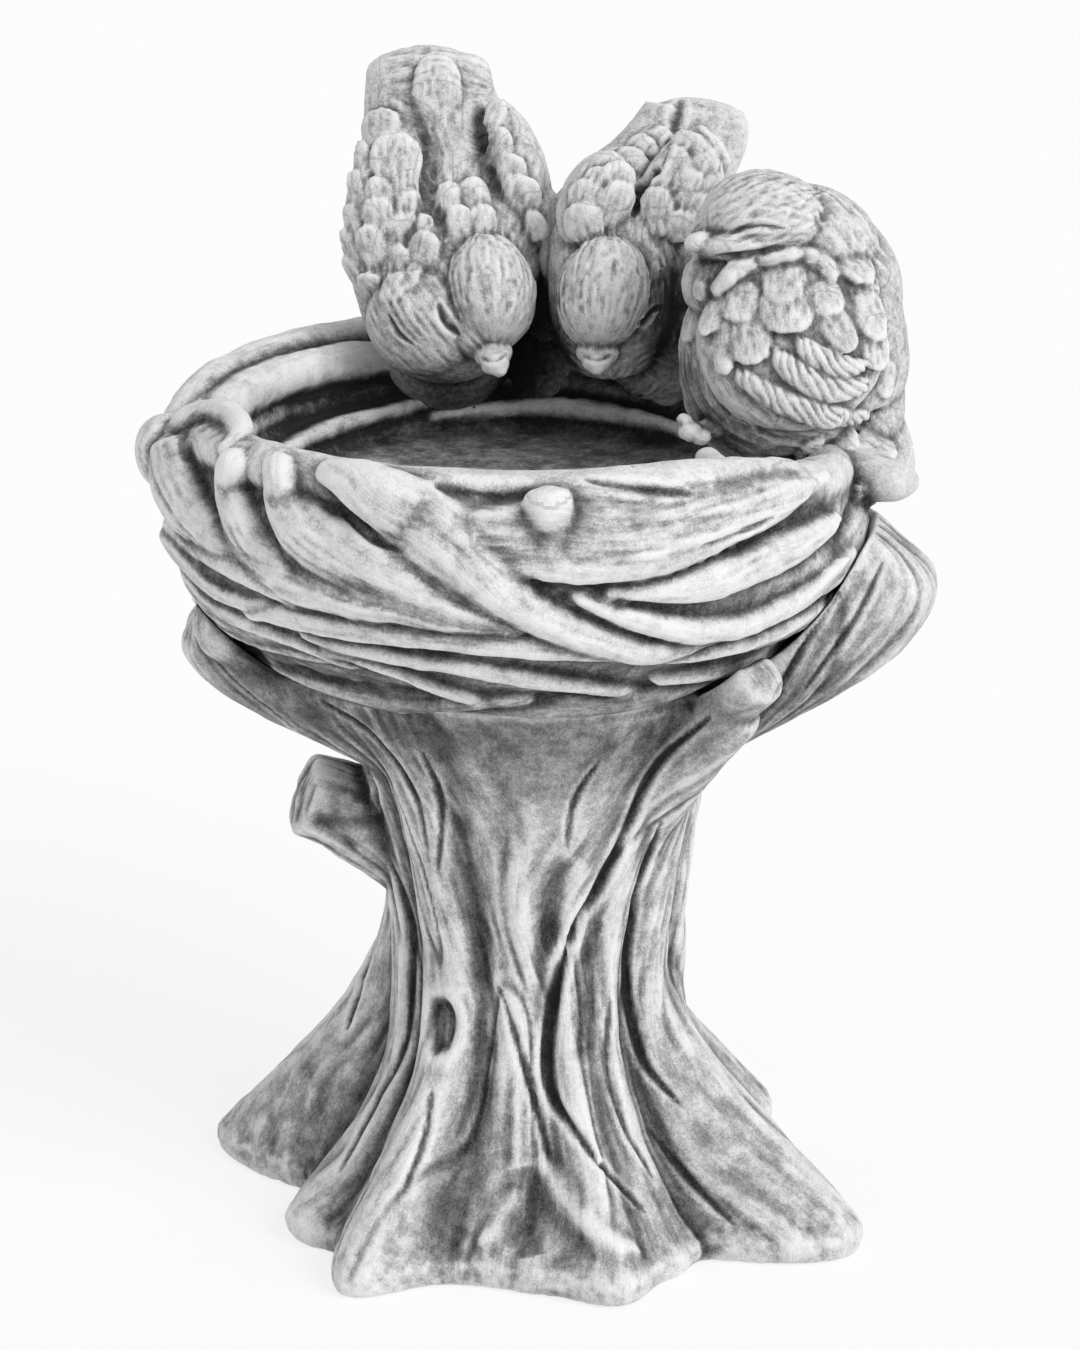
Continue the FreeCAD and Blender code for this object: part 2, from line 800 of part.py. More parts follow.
# A drinking bird's back line from breast to tail: forward place as a share of the head's reach, sideways
# place as a share of the girth, height as a share of the tail's height, half width and half depth as shares
# of the girth
BACK_LINES = {
    "left": (
        (0.53, -0.05, -0.09, 0.37, 0.42),
        (0.49, -0.05, 0.07, 0.81, 0.81),
        (0.41, -0.03, 0.23, 0.96, 0.81),
        (0.31, 0.05, 0.38, 1.00, 0.74),
        (0.16, 0.08, 0.53, 0.96, 0.60),
        (-0.02, 0.08, 0.67, 0.81, 0.45),
        (-0.18, 0.06, 0.82, 0.68, 0.32),
        (-0.29, 0.08, 0.95, 0.60, 0.21),
        (-0.34, 0.09, 1.00, 0.47, 0.14),
    ),
    "middle": (
        (0.65, -0.32, -0.10, 0.48, 0.56),
        (0.65, -0.32, 0.08, 0.74, 0.91),
        (0.57, -0.38, 0.25, 0.88, 0.98),
        (0.39, -0.42, 0.42, 1.00, 0.98),
        (0.20, -0.38, 0.56, 0.98, 0.84),
        (-0.02, -0.25, 0.68, 0.85, 0.63),
        (-0.25, -0.12, 0.80, 0.80, 0.46),
        (-0.41, -0.07, 0.92, 0.74, 0.35),
        (-0.46, -0.07, 1.00, 0.58, 0.25),
    ),
}

# Rounded masses on a bird: forward, sideways and upward place, half depth, half width and half height, all
# as shares of the girth; depth runs toward the front of the birdbath
MASSES = {
    "left": (
        ("outer_wing", 0.58, -0.66, 1.37, 0.34, 0.42, 0.87),
        ("inner_wing", 0.62, 0.60, 1.80, 0.32, 0.32, 0.74),
        ("breast", 1.00, -0.34, 0.39, 0.58, 0.63, 0.58),
        ("flank", 0.71, 1.00, 0.79, 0.32, 0.32, 0.79),
        ("thigh", 0.68, 0.95, -0.10, 0.37, 0.42, 0.68),
        ("haunch", 0.18, 0.00, 0.50, 0.80, 0.76, 0.85),
    ),
    "middle": (
        ("outer_wing", 1.33, -0.49, 2.10, 0.39, 0.46, 0.70),
        ("inner_wing", 0.56, 0.39, 2.20, 0.42, 0.53, 0.91),
        ("near_flank", 0.93, -1.06, 1.82, 0.42, 0.42, 0.77),
        ("flank", 0.49, 0.25, 1.23, 0.56, 0.49, 0.91),
        ("thigh", 0.63, 0.28, 0.14, 0.56, 0.56, 1.05),
        ("haunch", 0.25, 0.00, 0.70, 0.95, 0.90, 1.00),
    ),
    "right": (
        ("neck", 0.84, 0.24, 1.46, 0.59, 0.54, 0.43),
        ("nape", 0.03, 0.05, 1.95, 0.59, 0.65, 0.49),
        ("back", -0.05, -0.11, 1.41, 0.73, 0.76, 0.86),
        ("cheek", 0.81, 0.49, 1.92, 0.38, 0.46, 0.18),
        ("wing", 0.27, 0.70, 1.00, 0.38, 0.95, 0.89),
        ("far_wing", 0.10, -0.72, 0.95, 0.30, 0.90, 0.80),
        ("rump", -0.54, -0.03, 0.32, 0.49, 0.35, 0.70),
    ),
}


def spine_loft(stations):
    """A solid through oval outlines along a bent back line: place, half width and half depth of each."""
    wires = []
    for index, (place, half_width, half_depth) in enumerate(stations):
        before = stations[max(index - 1, 0)][0]
        after = stations[min(index + 1, len(stations) - 1)][0]
        along = Vector(after.x - before.x, 0, after.z - before.z).normalize()
        left = Vector(0, 1, 0)
        wires.append(oval(place, along, along.cross(left), half_width, half_depth, 16))
    return Part.makeLoft(wires, True, False)


def ellipsoid(centre, radii, along=(1, 0, 0), outward=(0, 1, 0)):
    """A stretched ball with its first axis along one way and its second toward another."""
    shape = Part.makeSphere(1.0)
    stretch = FreeCAD.Matrix()
    stretch.scale(Vector(*radii))
    shape = shape.transformGeometry(stretch)
    turn = Rotation(Vector(*along), Vector(*outward), Vector(*along).cross(Vector(*outward)), "XYZ")
    shape.Placement = Placement(centre, turn)
    return shape


def beak(start, direction):
    """A short blunt cone."""
    length = size("beak_length")
    return Part.makeCone(0.5 * length, 0.12 * length, length, start, Vector(*direction))


def masses(side):
    """The rounded masses of one bird, turned to the front of the birdbath."""
    girth = size(side + "_girth")
    turn = 270.0 - size(side + "_heading")
    ahead = polar(1.0, turn, 0.32)
    across = polar(1.0, turn + 90.0)
    forms = []
    for _, forward, sideways, upward, deep, wide, tall in MASSES[side]:
        place = Vector(forward, sideways, upward) * girth
        forms.append(ellipsoid(place, (deep * girth, wide * girth, tall * girth), ahead, across))
    return forms


def drinking_bird(side):
    """A bird bent over the water: head low in front, tail high behind."""
    head = size("head_radius")
    girth = size(side + "_girth")
    reach = size(side + "_head_reach")
    tail = size(side + "_tail_height")
    stations = []
    for forward, sideways, upward, wide, deep in BACK_LINES[side]:
        place = Vector(forward * reach, sideways * girth, upward * tail)
        stations.append((place, wide * girth, deep * girth))
    face = Vector(reach, size(side + "_head_side"), size(side + "_head_height"))
    turn = 270.0 - size(side + "_heading")
    nod = polar(1.0, turn, 0.32)
    forms = masses(side) + [
        ellipsoid(face, (head, 0.9 * head, 1.12 * head), nod, polar(1.0, turn + 90.0)),
        beak(face + polar(0.45 * head, turn, -0.62 * head), polar(0.42, turn, -1.0)),
    ]
    return spine_loft(stations).multiFuse(forms)


def perched_bird():
    """A plump upright bird with its tail hanging outside the rim."""
    head = size("head_radius")
    girth = size("right_girth")
    length = size("right_length")
    stature = size("right_stature")
    body = ellipsoid(Vector(0.21 * length, 0, 0.42 * stature), (length, girth, 0.54 * stature))
    face = Vector(0.47 * length, size("right_head_side"), 1.07 * stature)
    forms = masses("right") + [
        ellipsoid(face, (1.22 * head, head, 0.9 * head)),
        beak(face + Vector(0.9 * head, 0.3 * head, -0.3 * head), (1, 0.1, -0.3)),
        spine_loft(
            [
                (Vector(-0.34 * length, 0, 0.46 * stature), 0.52 * girth, 0.34 * girth),
                (Vector(-0.55 * length, 0, 0.22 * stature), 0.50 * girth, 0.26 * girth),
                (Vector(-0.72 * length, 0, 0.0), 0.44 * girth, 0.19 * girth),
                (Vector(-0.84 * length, 0, -0.17 * stature), 0.36 * girth, 0.13 * girth),
            ]
        ),
    ]
    return body.multiFuse(forms)


def parting(name, first, second, hand):
    """The room on one side of the upright plane half way between two birds' seats."""
    angle = 0.5 * (size(first + "_perch_angle") + size(second + "_perch_angle"))
    turn = Rotation(Vector(0, 0, 1), angle)
    reach = 2.0 * size("rim_radius")
    side = -0.5 * size("bird_gap") if hand > 0 else 0.5 * size("bird_gap") - reach
    room = solid(name, Part.makeBox(reach, reach, reach))
    room.Placement = Placement(
        NEST_AXIS + turn.multVec(Vector(0, side, 0)) + Vector(0, 0, size("seat_height")), turn
    )
    return room


def seated(side, shape):
    """Turn a bird to its heading, set it on its bed and cut it clear of the nest and its neighbours."""
    blank = solid(side + "_bird_blank", shape)
    lift = Vector(0, 0, size("bed_thickness"))
    blank.Placement = Placement(perch(side) + lift, Rotation(Vector(0, 0, 1), size(side + "_heading")))
    room = guard(
        side + "_room",
        size("seat_height"),
        size(side + "_perch_height") + size("bed_thickness"),
    )
    neighbours = []
    if side != "left":
        before = SIDES[SIDES.index(side) - 1]
        neighbours.append(parting(side + "_parting_before", side, before, 1.0))
    if side != "right":
        after = SIDES[SIDES.index(side) + 1]
        neighbours.append(parting(side + "_parting_after", side, after, -1.0))
    return cut("bird_" + side, blank, [room, pin_holes[side]] + neighbours)


birds = [
    seated("left", drinking_bird("left")),
    seated("middle", drinking_bird("middle")),
    seated("right", perched_bird()),
]

pins = []
beds = []
for side in SIDES:
    pins.append(
        fuse(
            "bird_%s_pins" % side,
            pin_set(side + "_pin", side, "Sizes.pin_radius", ""),
        )
    )
    slab = primitive(
        "Part::Box",
        side + "_bed_slab",
        Length="Sizes.bed_width",
        Width="Sizes.bed_length - Sizes.bed_width",
        Height="Sizes.bed_thickness",
    )
    turn = Rotation(Vector(0, 0, 1), size(side + "_perch_angle"))
    corner_step = Vector(-0.5 * size("bed_width"), -0.5 * (size("bed_length") - size("bed_width")), 0)
    slab.Placement = Placement(perch(side) + turn.multVec(corner_step), turn)
    rounds = []
    for step, share in (("a", -0.5), ("b", 0.5)):
        disc = primitive(
            "Part::Cylinder",
            "%s_bed_round_%s" % (side, step),
            Radius="0.5 * Sizes.bed_width",
            Height="Sizes.bed_thickness",
        )
        shift = Vector(0, share * (size("bed_length") - size("bed_width")), 0)
        disc.Placement = Placement(perch(side) + turn.multVec(shift), turn)
        rounds.append(disc)
    pad = fuse(side + "_bed_pad", [slab] + rounds)
    beds.append(cut("mortar_bed_" + side, pad, [pin_holes[side]]))

doc.recompute()

NODES = [trunk, nest, dowel, bars, reinforcing_ring] + birds + beds + pins
for item in doc.Objects:
    if "Invalid" in item.State or "Error" in item.State:
        raise RuntimeError("%s: %s" % (item.Label, item.State))
for node in NODES:
    if node.Shape.isNull() or not node.Shape.isValid():
        raise RuntimeError("%s has no sound shape" % node.Label)

os.makedirs("parts", exist_ok=True)
for node in NODES:
    node.Shape.exportStep("parts/%s.step" % node.Label)
    print(node.Label, len(node.Shape.Solids), round(node.Shape.Volume / 1000.0, 1), "cm3")
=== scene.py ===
"""Looks of a cast-stone garden birdbath: a tree stump, a nest of twigs and three birds on its rim.

Each casting is sculpted from closed numpy surfaces, fused into one skin, carved along that skin and
dressed in an antiqued stone whose dark wash follows the hollows. Lengths are in millimetres until a
mesh is written. Places on the side that the camera sees are given on a sheet, see Sight.
"""

from __future__ import annotations

import logging
import math
from dataclasses import dataclass
from typing import Any, Sequence

import bpy
import numpy as np
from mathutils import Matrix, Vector
from mathutils.bvhtree import BVHTree

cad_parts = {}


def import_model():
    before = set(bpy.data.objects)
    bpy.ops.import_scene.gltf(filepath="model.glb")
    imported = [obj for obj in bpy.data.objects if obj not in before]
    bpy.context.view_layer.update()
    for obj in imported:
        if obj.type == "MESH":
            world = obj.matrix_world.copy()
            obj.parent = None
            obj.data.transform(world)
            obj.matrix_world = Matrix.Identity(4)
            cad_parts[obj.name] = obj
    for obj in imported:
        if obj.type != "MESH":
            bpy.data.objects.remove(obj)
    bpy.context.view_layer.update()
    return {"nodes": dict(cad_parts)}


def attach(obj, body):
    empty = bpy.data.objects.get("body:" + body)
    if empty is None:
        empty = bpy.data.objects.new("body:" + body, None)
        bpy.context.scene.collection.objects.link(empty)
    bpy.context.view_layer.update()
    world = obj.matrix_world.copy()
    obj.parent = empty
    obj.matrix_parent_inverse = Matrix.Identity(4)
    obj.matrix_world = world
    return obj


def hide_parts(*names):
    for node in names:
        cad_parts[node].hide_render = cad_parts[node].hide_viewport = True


LOG = logging.getLogger("birdbath")
MM = 0.001
# Four-cornered faces of the largest piece: its triangles stay below 200,000
FACE_LIMIT = 97_000
UP = np.array([0.0, 0.0, 1.0])
# Multipliers of the noise's hash, for the three coordinates and the field
HASH = np.array([73856093, 19349663, 83492791])
FIELD_HASH = 2654435761
WORD = 0xFFFFFFFF
# Distances from the eye where a line of sight that meets nothing looks for the nearest place
SEARCH = range(1480, 1860, 8)
# Share of a half width at which a twig's or feather's own lines end, and over which they fade
FADE_END, FADE_SPAN = 1.15, 0.4
# Relief of a skin: rounds of smoothing, height that counts, and share of the tone
RELIEF_STEPS = ((5, 0.24, 0.27), (22, 1.0, 0.36), (110, 3.4, 0.34))
RELIEF_MIDDLE, RELIEF_GAIN = 0.53, 0.62

# Types of the tables: rows of numbers, and lines with two numbers and rows of places each
Array = np.ndarray
Path = Sequence[tuple[float, ...]]
Pair = tuple[float, float]
Triple = tuple[float, float, float]
Rows = tuple[tuple[float, ...], ...]
Lines = tuple[tuple[float, float, Rows], ...]


def unit(rows: Array) -> Array:
    """Rows scaled to length one."""
    return rows / np.maximum(np.linalg.norm(rows, axis=-1, keepdims=True), 1e-9)


def ease(x: Array) -> Array:
    """Smooth step from 0 to 1."""
    t = np.clip(x, 0.0, 1.0)
    return t * t * (3.0 - 2.0 * t)


def bell(x: Array) -> Array:
    """Bell of height one and half width about one."""
    return np.exp(-np.square(x))


def turn_gap(a: Array, b: float) -> Array:
    """Signed difference of two angles in degrees, within half a turn."""
    return (a - b + 180.0) % 360.0 - 180.0


def noise(points: Array, seed: int) -> Array:
    """Smooth value noise from -1 to 1: hashed corner values of the unit lattice, eased between.

    Args:
        points: Places in lattice units, one row each.
        seed: Picks another field.

    Returns:
        One value per row.
    """
    base = np.floor(points).astype(np.int64)
    part = ease(points - base)
    total = np.zeros(len(points))
    for corner in np.ndindex(2, 2, 2):
        cell = base + np.array(corner)
        hashed = cell * HASH
        mixed = hashed[:, 0] ^ hashed[:, 1] ^ hashed[:, 2] ^ (seed * FIELD_HASH)
        mixed = (mixed & WORD) * 2246822519 & WORD
        mixed = ((mixed ^ (mixed >> 13)) * 3266489917) & WORD
        mixed ^= mixed >> 16
        weight = np.prod(np.where(np.array(corner) == 1, part, 1.0 - part), axis=1)
        total += weight * (mixed / 2147483648.0 - 1.0)
    return total


@dataclass(frozen=True)
class Lumps:
    """A layer of noise: size of its lumps, height and field."""

    size: float
    height: float
    seed: int

    def of(self, points: Array, more: int = 0) -> Array:
        """Its height at each place, in this field or one that many further."""
        return self.height * noise(points / self.size, self.seed + more)


def spline(points: Path, count: int) -> Array:
    """Catmull-Rom curve through rows of numbers, evenly counted between them.

    Args:
        points: Rows of places and of what else changes along the curve.
        count: Rows of the curve.

    Returns:
        The curve's rows.
    """
    knots = np.asarray(points, float)
    padded = np.vstack([2 * knots[0] - knots[1], knots, 2 * knots[-1] - knots[-2]])
    t = np.linspace(0.0, len(knots) - 1.0, count)
    i = np.minimum(t.astype(int), len(knots) - 2)
    f = (t - i)[:, None]
    a, b, c, d = padded[i], padded[i + 1], padded[i + 2], padded[i + 3]
    return 0.5 * (2 * b + (c - a) * f + (2 * a - 5 * b + 4 * c - d) * f**2 + (3 * b - a - 3 * c + d) * f**3)


def run_along(path: Array) -> Array:
    """Length along a path at each of its places."""
    return np.concatenate([[0.0], np.cumsum(np.linalg.norm(np.diff(path, axis=0), axis=1))])


@dataclass
class Shell:
    """A closed surface of triangles."""

    points: Array
    faces: Array


def merge(shells: Sequence[Shell]) -> Shell:
    """All shells as one."""
    starts = np.cumsum([0] + [len(s.points) for s in shells[:-1]])
    return Shell(
        np.vstack([s.points for s in shells]), np.vstack([s.faces + k for s, k in zip(shells, starts)])
    )


def ring_shell(rings: Array) -> Shell:
    """Surface over rows of rings, each closed round, with a pole in the middle of both end rings.

    Args:
        rings: Rows, places round a row, three coordinates.

    Returns:
        The closed shell.
    """
    rows, round_, _ = rings.shape
    points = np.vstack([rings.reshape(-1, 3), rings[0].mean(0), rings[-1].mean(0)])
    i, j = np.meshgrid(np.arange(rows - 1), np.arange(round_), indexing="ij")
    a, b = (i * round_ + j).ravel(), (i * round_ + (j + 1) % round_).ravel()
    c, d = b + round_, a + round_
    k = np.arange(round_)
    n = (k + 1) % round_
    low, high = np.full(round_, rows * round_), np.full(round_, rows * round_ + 1)
    last = (rows - 1) * round_
    faces = [np.stack(t, 1) for t in ((a, b, c), (a, c, d), (low, n, k), (high, k + last, n + last))]
    return Shell(points, np.vstack(faces))


def tube(
    path: Array, wide: Array, high: Array, outward: Array, blunt: float = 99.0, sides: int = 28
) -> Shell:
    """A twig: an oval section along a path, its ends rounded off over one width or less.

    Args:
        path: Rows of places.
        wide: Half width across the path, along the surface it lies on.
        high: Half height away from that surface.
        outward: Direction away from the surface at each place.
        blunt: Longest rounding of the ends.
        sides: Places round the section.

    Returns:
        The closed shell.
    """
    ahead = unit(np.gradient(path, axis=0))
    across = unit(np.cross(ahead, outward))
    lift = np.cross(across, ahead)
    run = run_along(path)
    near = np.clip(np.minimum(run, run[-1] - run) / np.clip(wide, 0.5, blunt), 0.0, 1.0)
    round_off = np.sqrt(np.clip(1.0 - (1.0 - near) ** 2, 0.03, 1.0))
    turn = np.linspace(0.0, 2.0 * np.pi, sides, endpoint=False)
    w = (wide * round_off)[:, None, None] * np.cos(turn)[None, :, None]
    h = (high * round_off)[:, None, None] * np.sin(turn)[None, :, None]
    return ring_shell(path[:, None, :] + w * across[:, None, :] + h * lift[:, None, :])


def lobe(centre: Array, along: Array, outward: Array, size: Sequence[float], rise: float = 0.0) -> Shell:
    """A pebble-shaped feather: a blunt ellipsoid, length, width and height, whose free end stands up.

    The distance from the surface grows with the square of the way from the root to the free end, by rise.

    Args:
        centre: Its middle.
        along: The way its free end points.
        outward: Away from the surface it lies on.
        size: Full length, width and height.
        rise: How far the free end stands up.

    Returns:
        The closed shell.
    """
    lift = unit(np.asarray(outward, float))
    ahead = unit(np.asarray(along, float) - np.dot(along, lift) * lift)
    across = np.cross(lift, ahead)
    # Angles from the free end to the root, short of both poles, and round the feather
    u = np.linspace(0.06, np.pi - 0.06, 13)[:, None]
    v = np.linspace(0.0, 2.0 * np.pi, 20, endpoint=False)[None, :]
    a = np.sign(np.cos(u)) * np.abs(np.cos(u)) ** 0.85 + 0.0 * v
    b = np.sin(u) ** 0.8 * np.cos(v)
    c = np.sin(u) ** 0.8 * np.sin(v) * 0.5 * size[2] + rise * np.square(0.5 * a + 0.5)
    place = 0.5 * size[0] * a[..., None] * ahead + 0.5 * size[1] * b[..., None] * across + c[..., None] * lift
    return ring_shell(np.asarray(centre, float) + place)


def ball(
    centre: Sequence[float],
    radii: Sequence[float],
    along: Sequence[float] = (1, 0, 0),
    outward: Sequence[float] = (0, 1, 0),
) -> Shell:
    """An ellipsoid.

    Args:
        centre: Its middle.
        radii: Its three half sizes.
        along: The way of its first axis.
        outward: The way its second axis turns to.

    Returns:
        The closed shell.
    """
    first = unit(np.asarray(along, float))
    second = unit(np.asarray(outward, float) - np.dot(outward, first) * first)
    # Angles from pole to pole and round the first axis
    u = np.linspace(0.02, np.pi - 0.02, 41)[:, None]
    v = np.linspace(0.0, 2.0 * np.pi, 56, endpoint=False)[None, :]
    a, b, c = np.cos(u) + 0.0 * v, np.sin(u) * np.cos(v), np.sin(u) * np.sin(v)
    axes = np.stack([first, second, np.cross(first, second)])
    local = np.stack([radii[0] * a, radii[1] * b, radii[2] * c], axis=-1)
    return ring_shell(np.asarray(centre, float) + local @ axes)


@dataclass(frozen=True)
class Sight:
    """The camera, and a sheet of 1080 by 1350 units square to its view through the target."""

    eye: Triple = (2.0, -1600.0, 730.0)
    target: Triple = (2.0, 0.0, 211.5)
    lens: float = 118.67
    step: float = 0.378
    middle: Pair = (540.0, 675.0)

    def axes(self) -> tuple[Array, Array, Array]:
        """The sheet's own rightward and upward directions, and the one toward the eye."""
        ahead = unit(np.array(self.target) - np.array(self.eye))
        right = np.array((1.0, 0.0, 0.0))
        return right, np.cross(right, ahead), -ahead

    def rays(self, sheet: Array) -> Array:
        """Directions of sight through places on the sheet.

        Args:
            sheet: Rows that start with two sheet coordinates.

        Returns:
            Unit rows.
        """
        right, up, _ = self.axes()
        across = (sheet[:, 0] - self.middle[0]) * self.step
        rise = (self.middle[1] - sheet[:, 1]) * self.step
        far = np.array(self.target) + across[:, None] * right + rise[:, None] * up
        return unit(far - np.array(self.eye))

    def place(self, sheet: Array, depth: Array) -> Array:
        """Places where lines of sight cross upright planes at the given depths along Y.

        Args:
            sheet: Rows that start with two sheet coordinates.
            depth: Depth of each.

        Returns:
            The places.
        """
        rays = self.rays(sheet)
        far = (depth - self.eye[1]) / rays[:, 1]
        return np.array(self.eye) + far[:, None] * rays

    def spot(self, x: float, y: float, depth: float) -> Array:
        """One place on the sheet at a depth along Y."""
        return self.place(np.array([[x, y]], float), np.array([depth], float))[0]


SIGHT = Sight()


def traced(sheet: Path) -> Array:
    """A curve through places on the sheet that steps by less than a millimetre.

    Args:
        sheet: Rows that start with two sheet coordinates.

    Returns:
        The curve's rows.
    """
    rows = np.asarray(sheet, float)
    length = float(np.linalg.norm(np.diff(rows[:, :2], axis=0), axis=1).sum()) * SIGHT.step
    return spline(rows, max(int(length / 0.9), 12))


class Touch:
    """Finds where lines of sight meet a surface."""

    def __init__(self, points: Array, faces: Array) -> None:
        """Sorts the surface for searching."""
        self.tree = BVHTree.FromPolygons(points.tolist(), faces.tolist())

    def seen(self, sheet: Path) -> tuple[Array, Array]:
        """Places and outward directions where the sheet's places fall on the surface.

        Args:
            sheet: Rows that start with two sheet coordinates.

        Returns:
            Places and unit normals, one row each. A line that misses takes the nearest place to it.
        """
        rows = np.asarray(sheet, float)
        eye = Vector(SIGHT.eye)
        places, outs = [], []
        for ray in SIGHT.rays(rows):
            way = Vector(ray)
            hit, out, _, _ = self.tree.ray_cast(eye, way)
            if hit is None:
                tries = [self.tree.find_nearest(eye + way * far) for far in SEARCH]
                hit, out, _, _ = min(tries, key=lambda t: t[3])
            if out.dot(way) > 0.0:
                out = -out
            places.append(tuple(hit))
            outs.append(tuple(out))
        return np.array(places), np.array(outs)


@dataclass
class Guide:
    """A twig or feather on a skin: path, sideways direction, half width, and step of a feather's barbs."""

    path: Array
    across: Array
    wide: Array
    step: float = 0.0

    @classmethod
    def on(cls, path: Array, out: Array, wide: Array, step: float = 0.0) -> Guide:
        """The guide of a path on a surface that faces the outward directions."""
        return cls(path, unit(np.cross(np.gradient(path, axis=0), out)), wide, step)


@dataclass
class Skin:
    """A fused casting: places, four-cornered faces and edges.

    Its fibre coordinates change little along the carved fibres, so that a texture on them is streaked.
    """

    points: Array
    quads: Array
    edges: Array
    fibre: Array

    def average(self, values: Array, rounds: int, share: float = 0.6) -> Array:
        """Values moved toward the mean of their neighbours, a number of rounds.

        Args:
            values: One number or one row per vertex.
            rounds: How often.
            share: How far toward the mean each time.

        Returns:
            The smoothed values.
        """
        a, b = self.edges[:, 0], self.edges[:, 1]
        count = len(self.points)
        degree = np.maximum(np.bincount(a, minlength=count) + np.bincount(b, minlength=count), 1)
        flat = values.reshape(count, -1).copy()
        for _ in range(rounds):
            for k in range(flat.shape[1]):
                column = flat[:, k]
                near = np.bincount(a, column[b], count) + np.bincount(b, column[a], count)
                flat[:, k] = column + share * (near / degree - column)
        return flat.reshape(values.shape)

    def normals(self) -> Array:
        """Unit normals of the vertices: the crossed diagonals of their faces, summed."""
        p = self.points[self.quads]
        face = np.cross(p[:, 2] - p[:, 0], p[:, 3] - p[:, 1])
        corners, count = self.quads.ravel(), len(self.points)
        total = [np.bincount(corners, np.repeat(face[:, k], 4), count) for k in range(3)]
        return unit(np.stack(total, axis=1))

    def relax(self, rounds: int, share: float = 0.5) -> None:
        """Rounds the voxel steps off."""
        self.points = self.average(self.points, rounds, share)

    def push(self, amount: Array) -> None:
        """Moves each vertex along its normal."""
        self.points = self.points + amount[:, None] * self.normals()

    def nearest(self, line: Array, reach: float) -> tuple[Array, Array, Array]:
        """Finds the vertices in a box round a line.

        Args:
            line: Rows of places.
            reach: How far the box stands out beyond the line.

        Returns:
            Indices of the vertices, the number of the line's place that is nearest to each, and its distance.
        """
        after, before = self.points > line.min(0) - reach, self.points < line.max(0) + reach
        inside = np.all(after & before, axis=1).nonzero()[0]
        best = np.full(len(inside), 1e9)
        where = np.zeros(len(inside), int)
        for k, place in enumerate(line):
            gap = np.linalg.norm(self.points[inside] - place, axis=1)
            closer = gap < best
            best[closer] = gap[closer]
            where[closer] = k
        return inside, where, best

    def stroke(self, line: Array, width: float, depth: float, lip: float) -> Array:
        """A tool mark: depth times a bell of the distance to a line over its width, narrowing to both ends.

        Args:
            line: Rows of places on the skin, close together.
            width: Half width of the mark.
            depth: Inward depth, or outward if negative.
            lip: Height of the raised edges beside it.

        Returns:
            The push of every vertex.
        """
        push = np.zeros(len(self.points))
        inside, where, best = self.nearest(line, 3.2 * width)
        if len(inside) == 0:
            return push
        ahead = unit(np.gradient(line, axis=0))
        step = np.linalg.norm(np.diff(line, axis=0), axis=1).mean()
        along = np.sum((self.points[inside] - line[where]) * ahead[where], axis=1)
        best = np.sqrt(np.maximum(best**2 - np.clip(along, -step, step) ** 2, 0.0))
        share = np.clip((where + along / step) / (len(line) - 1), 0.0, 1.0)
        taper = 0.35 + 0.65 * np.sqrt(np.sin(np.pi * share))
        gap = best / (width * taper)
        push[inside] = (taper - 0.3) * (lip * bell((gap - 1.9) / 0.8) - depth * bell(gap)) / 0.7
        return push

    def carve(self, cuts: Lines, touch: Touch, lip: float) -> None:
        """Makes tool marks one after another.

        Args:
            cuts: Half width, depth and sheet places of each.
            touch: The surface that the sheet's places fall on.
            lip: Height of the raised edges as a share of the depth.
        """
        for width, depth, sheet in cuts:
            line, _ = touch.seen(traced(sheet))
            self.push(self.stroke(line, width, depth, lip * depth))

    def along(self, guide: Guide) -> tuple[Array, Array, Array, Array]:
        """Coordinates of the vertices on a twig or feather.

        Args:
            guide: Its path, sideways direction and half width.

        Returns:
            Indices of the vertices within reach, their way along the path, their way across it, and
            a weight that fades to zero at the reach.
        """
        inside, where, best = self.nearest(guide.path, float(guide.wide.max()))
        kept = best < guide.wide[where] * FADE_END
        inside, where, best = inside[kept], where[kept], best[kept]
        offset = self.points[inside] - guide.path[where]
        ahead = unit(np.gradient(guide.path, axis=0))[where]
        way = run_along(guide.path)[where] + np.sum(offset * ahead, axis=1)
        side = np.sum(offset * guide.across[where], axis=1)
        return inside, way, side, ease((FADE_END - best / guide.wide[where]) / FADE_SPAN)

    def relief(self) -> Array:
        """How far each vertex stands out of its surroundings, from 0 in a hollow to 1 on a crest.

        The height over three ever wider smoothed copies of the skin, each pressed into -1 to 1, is summed.
        """
        out = self.normals()
        copy = self.points
        total = np.zeros(len(self.points))
        for rounds, scale, share in RELIEF_STEPS:
            copy = self.average(copy, rounds)
            total += share * np.tanh(np.sum((self.points - copy) * out, axis=1) / scale)
        return np.clip(RELIEF_MIDDLE + RELIEF_GAIN * total, 0.0, 1.0)

    def touch(self) -> Touch:
        """The skin, sorted for lines of sight."""
        return Touch(self.points, self.quads)


def put(name: str, data: bpy.types.ID) -> bpy.types.Object:
    """A new object in the scene."""
    made = bpy.data.objects.new(name, data)
    bpy.context.scene.collection.objects.link(made)
    return made


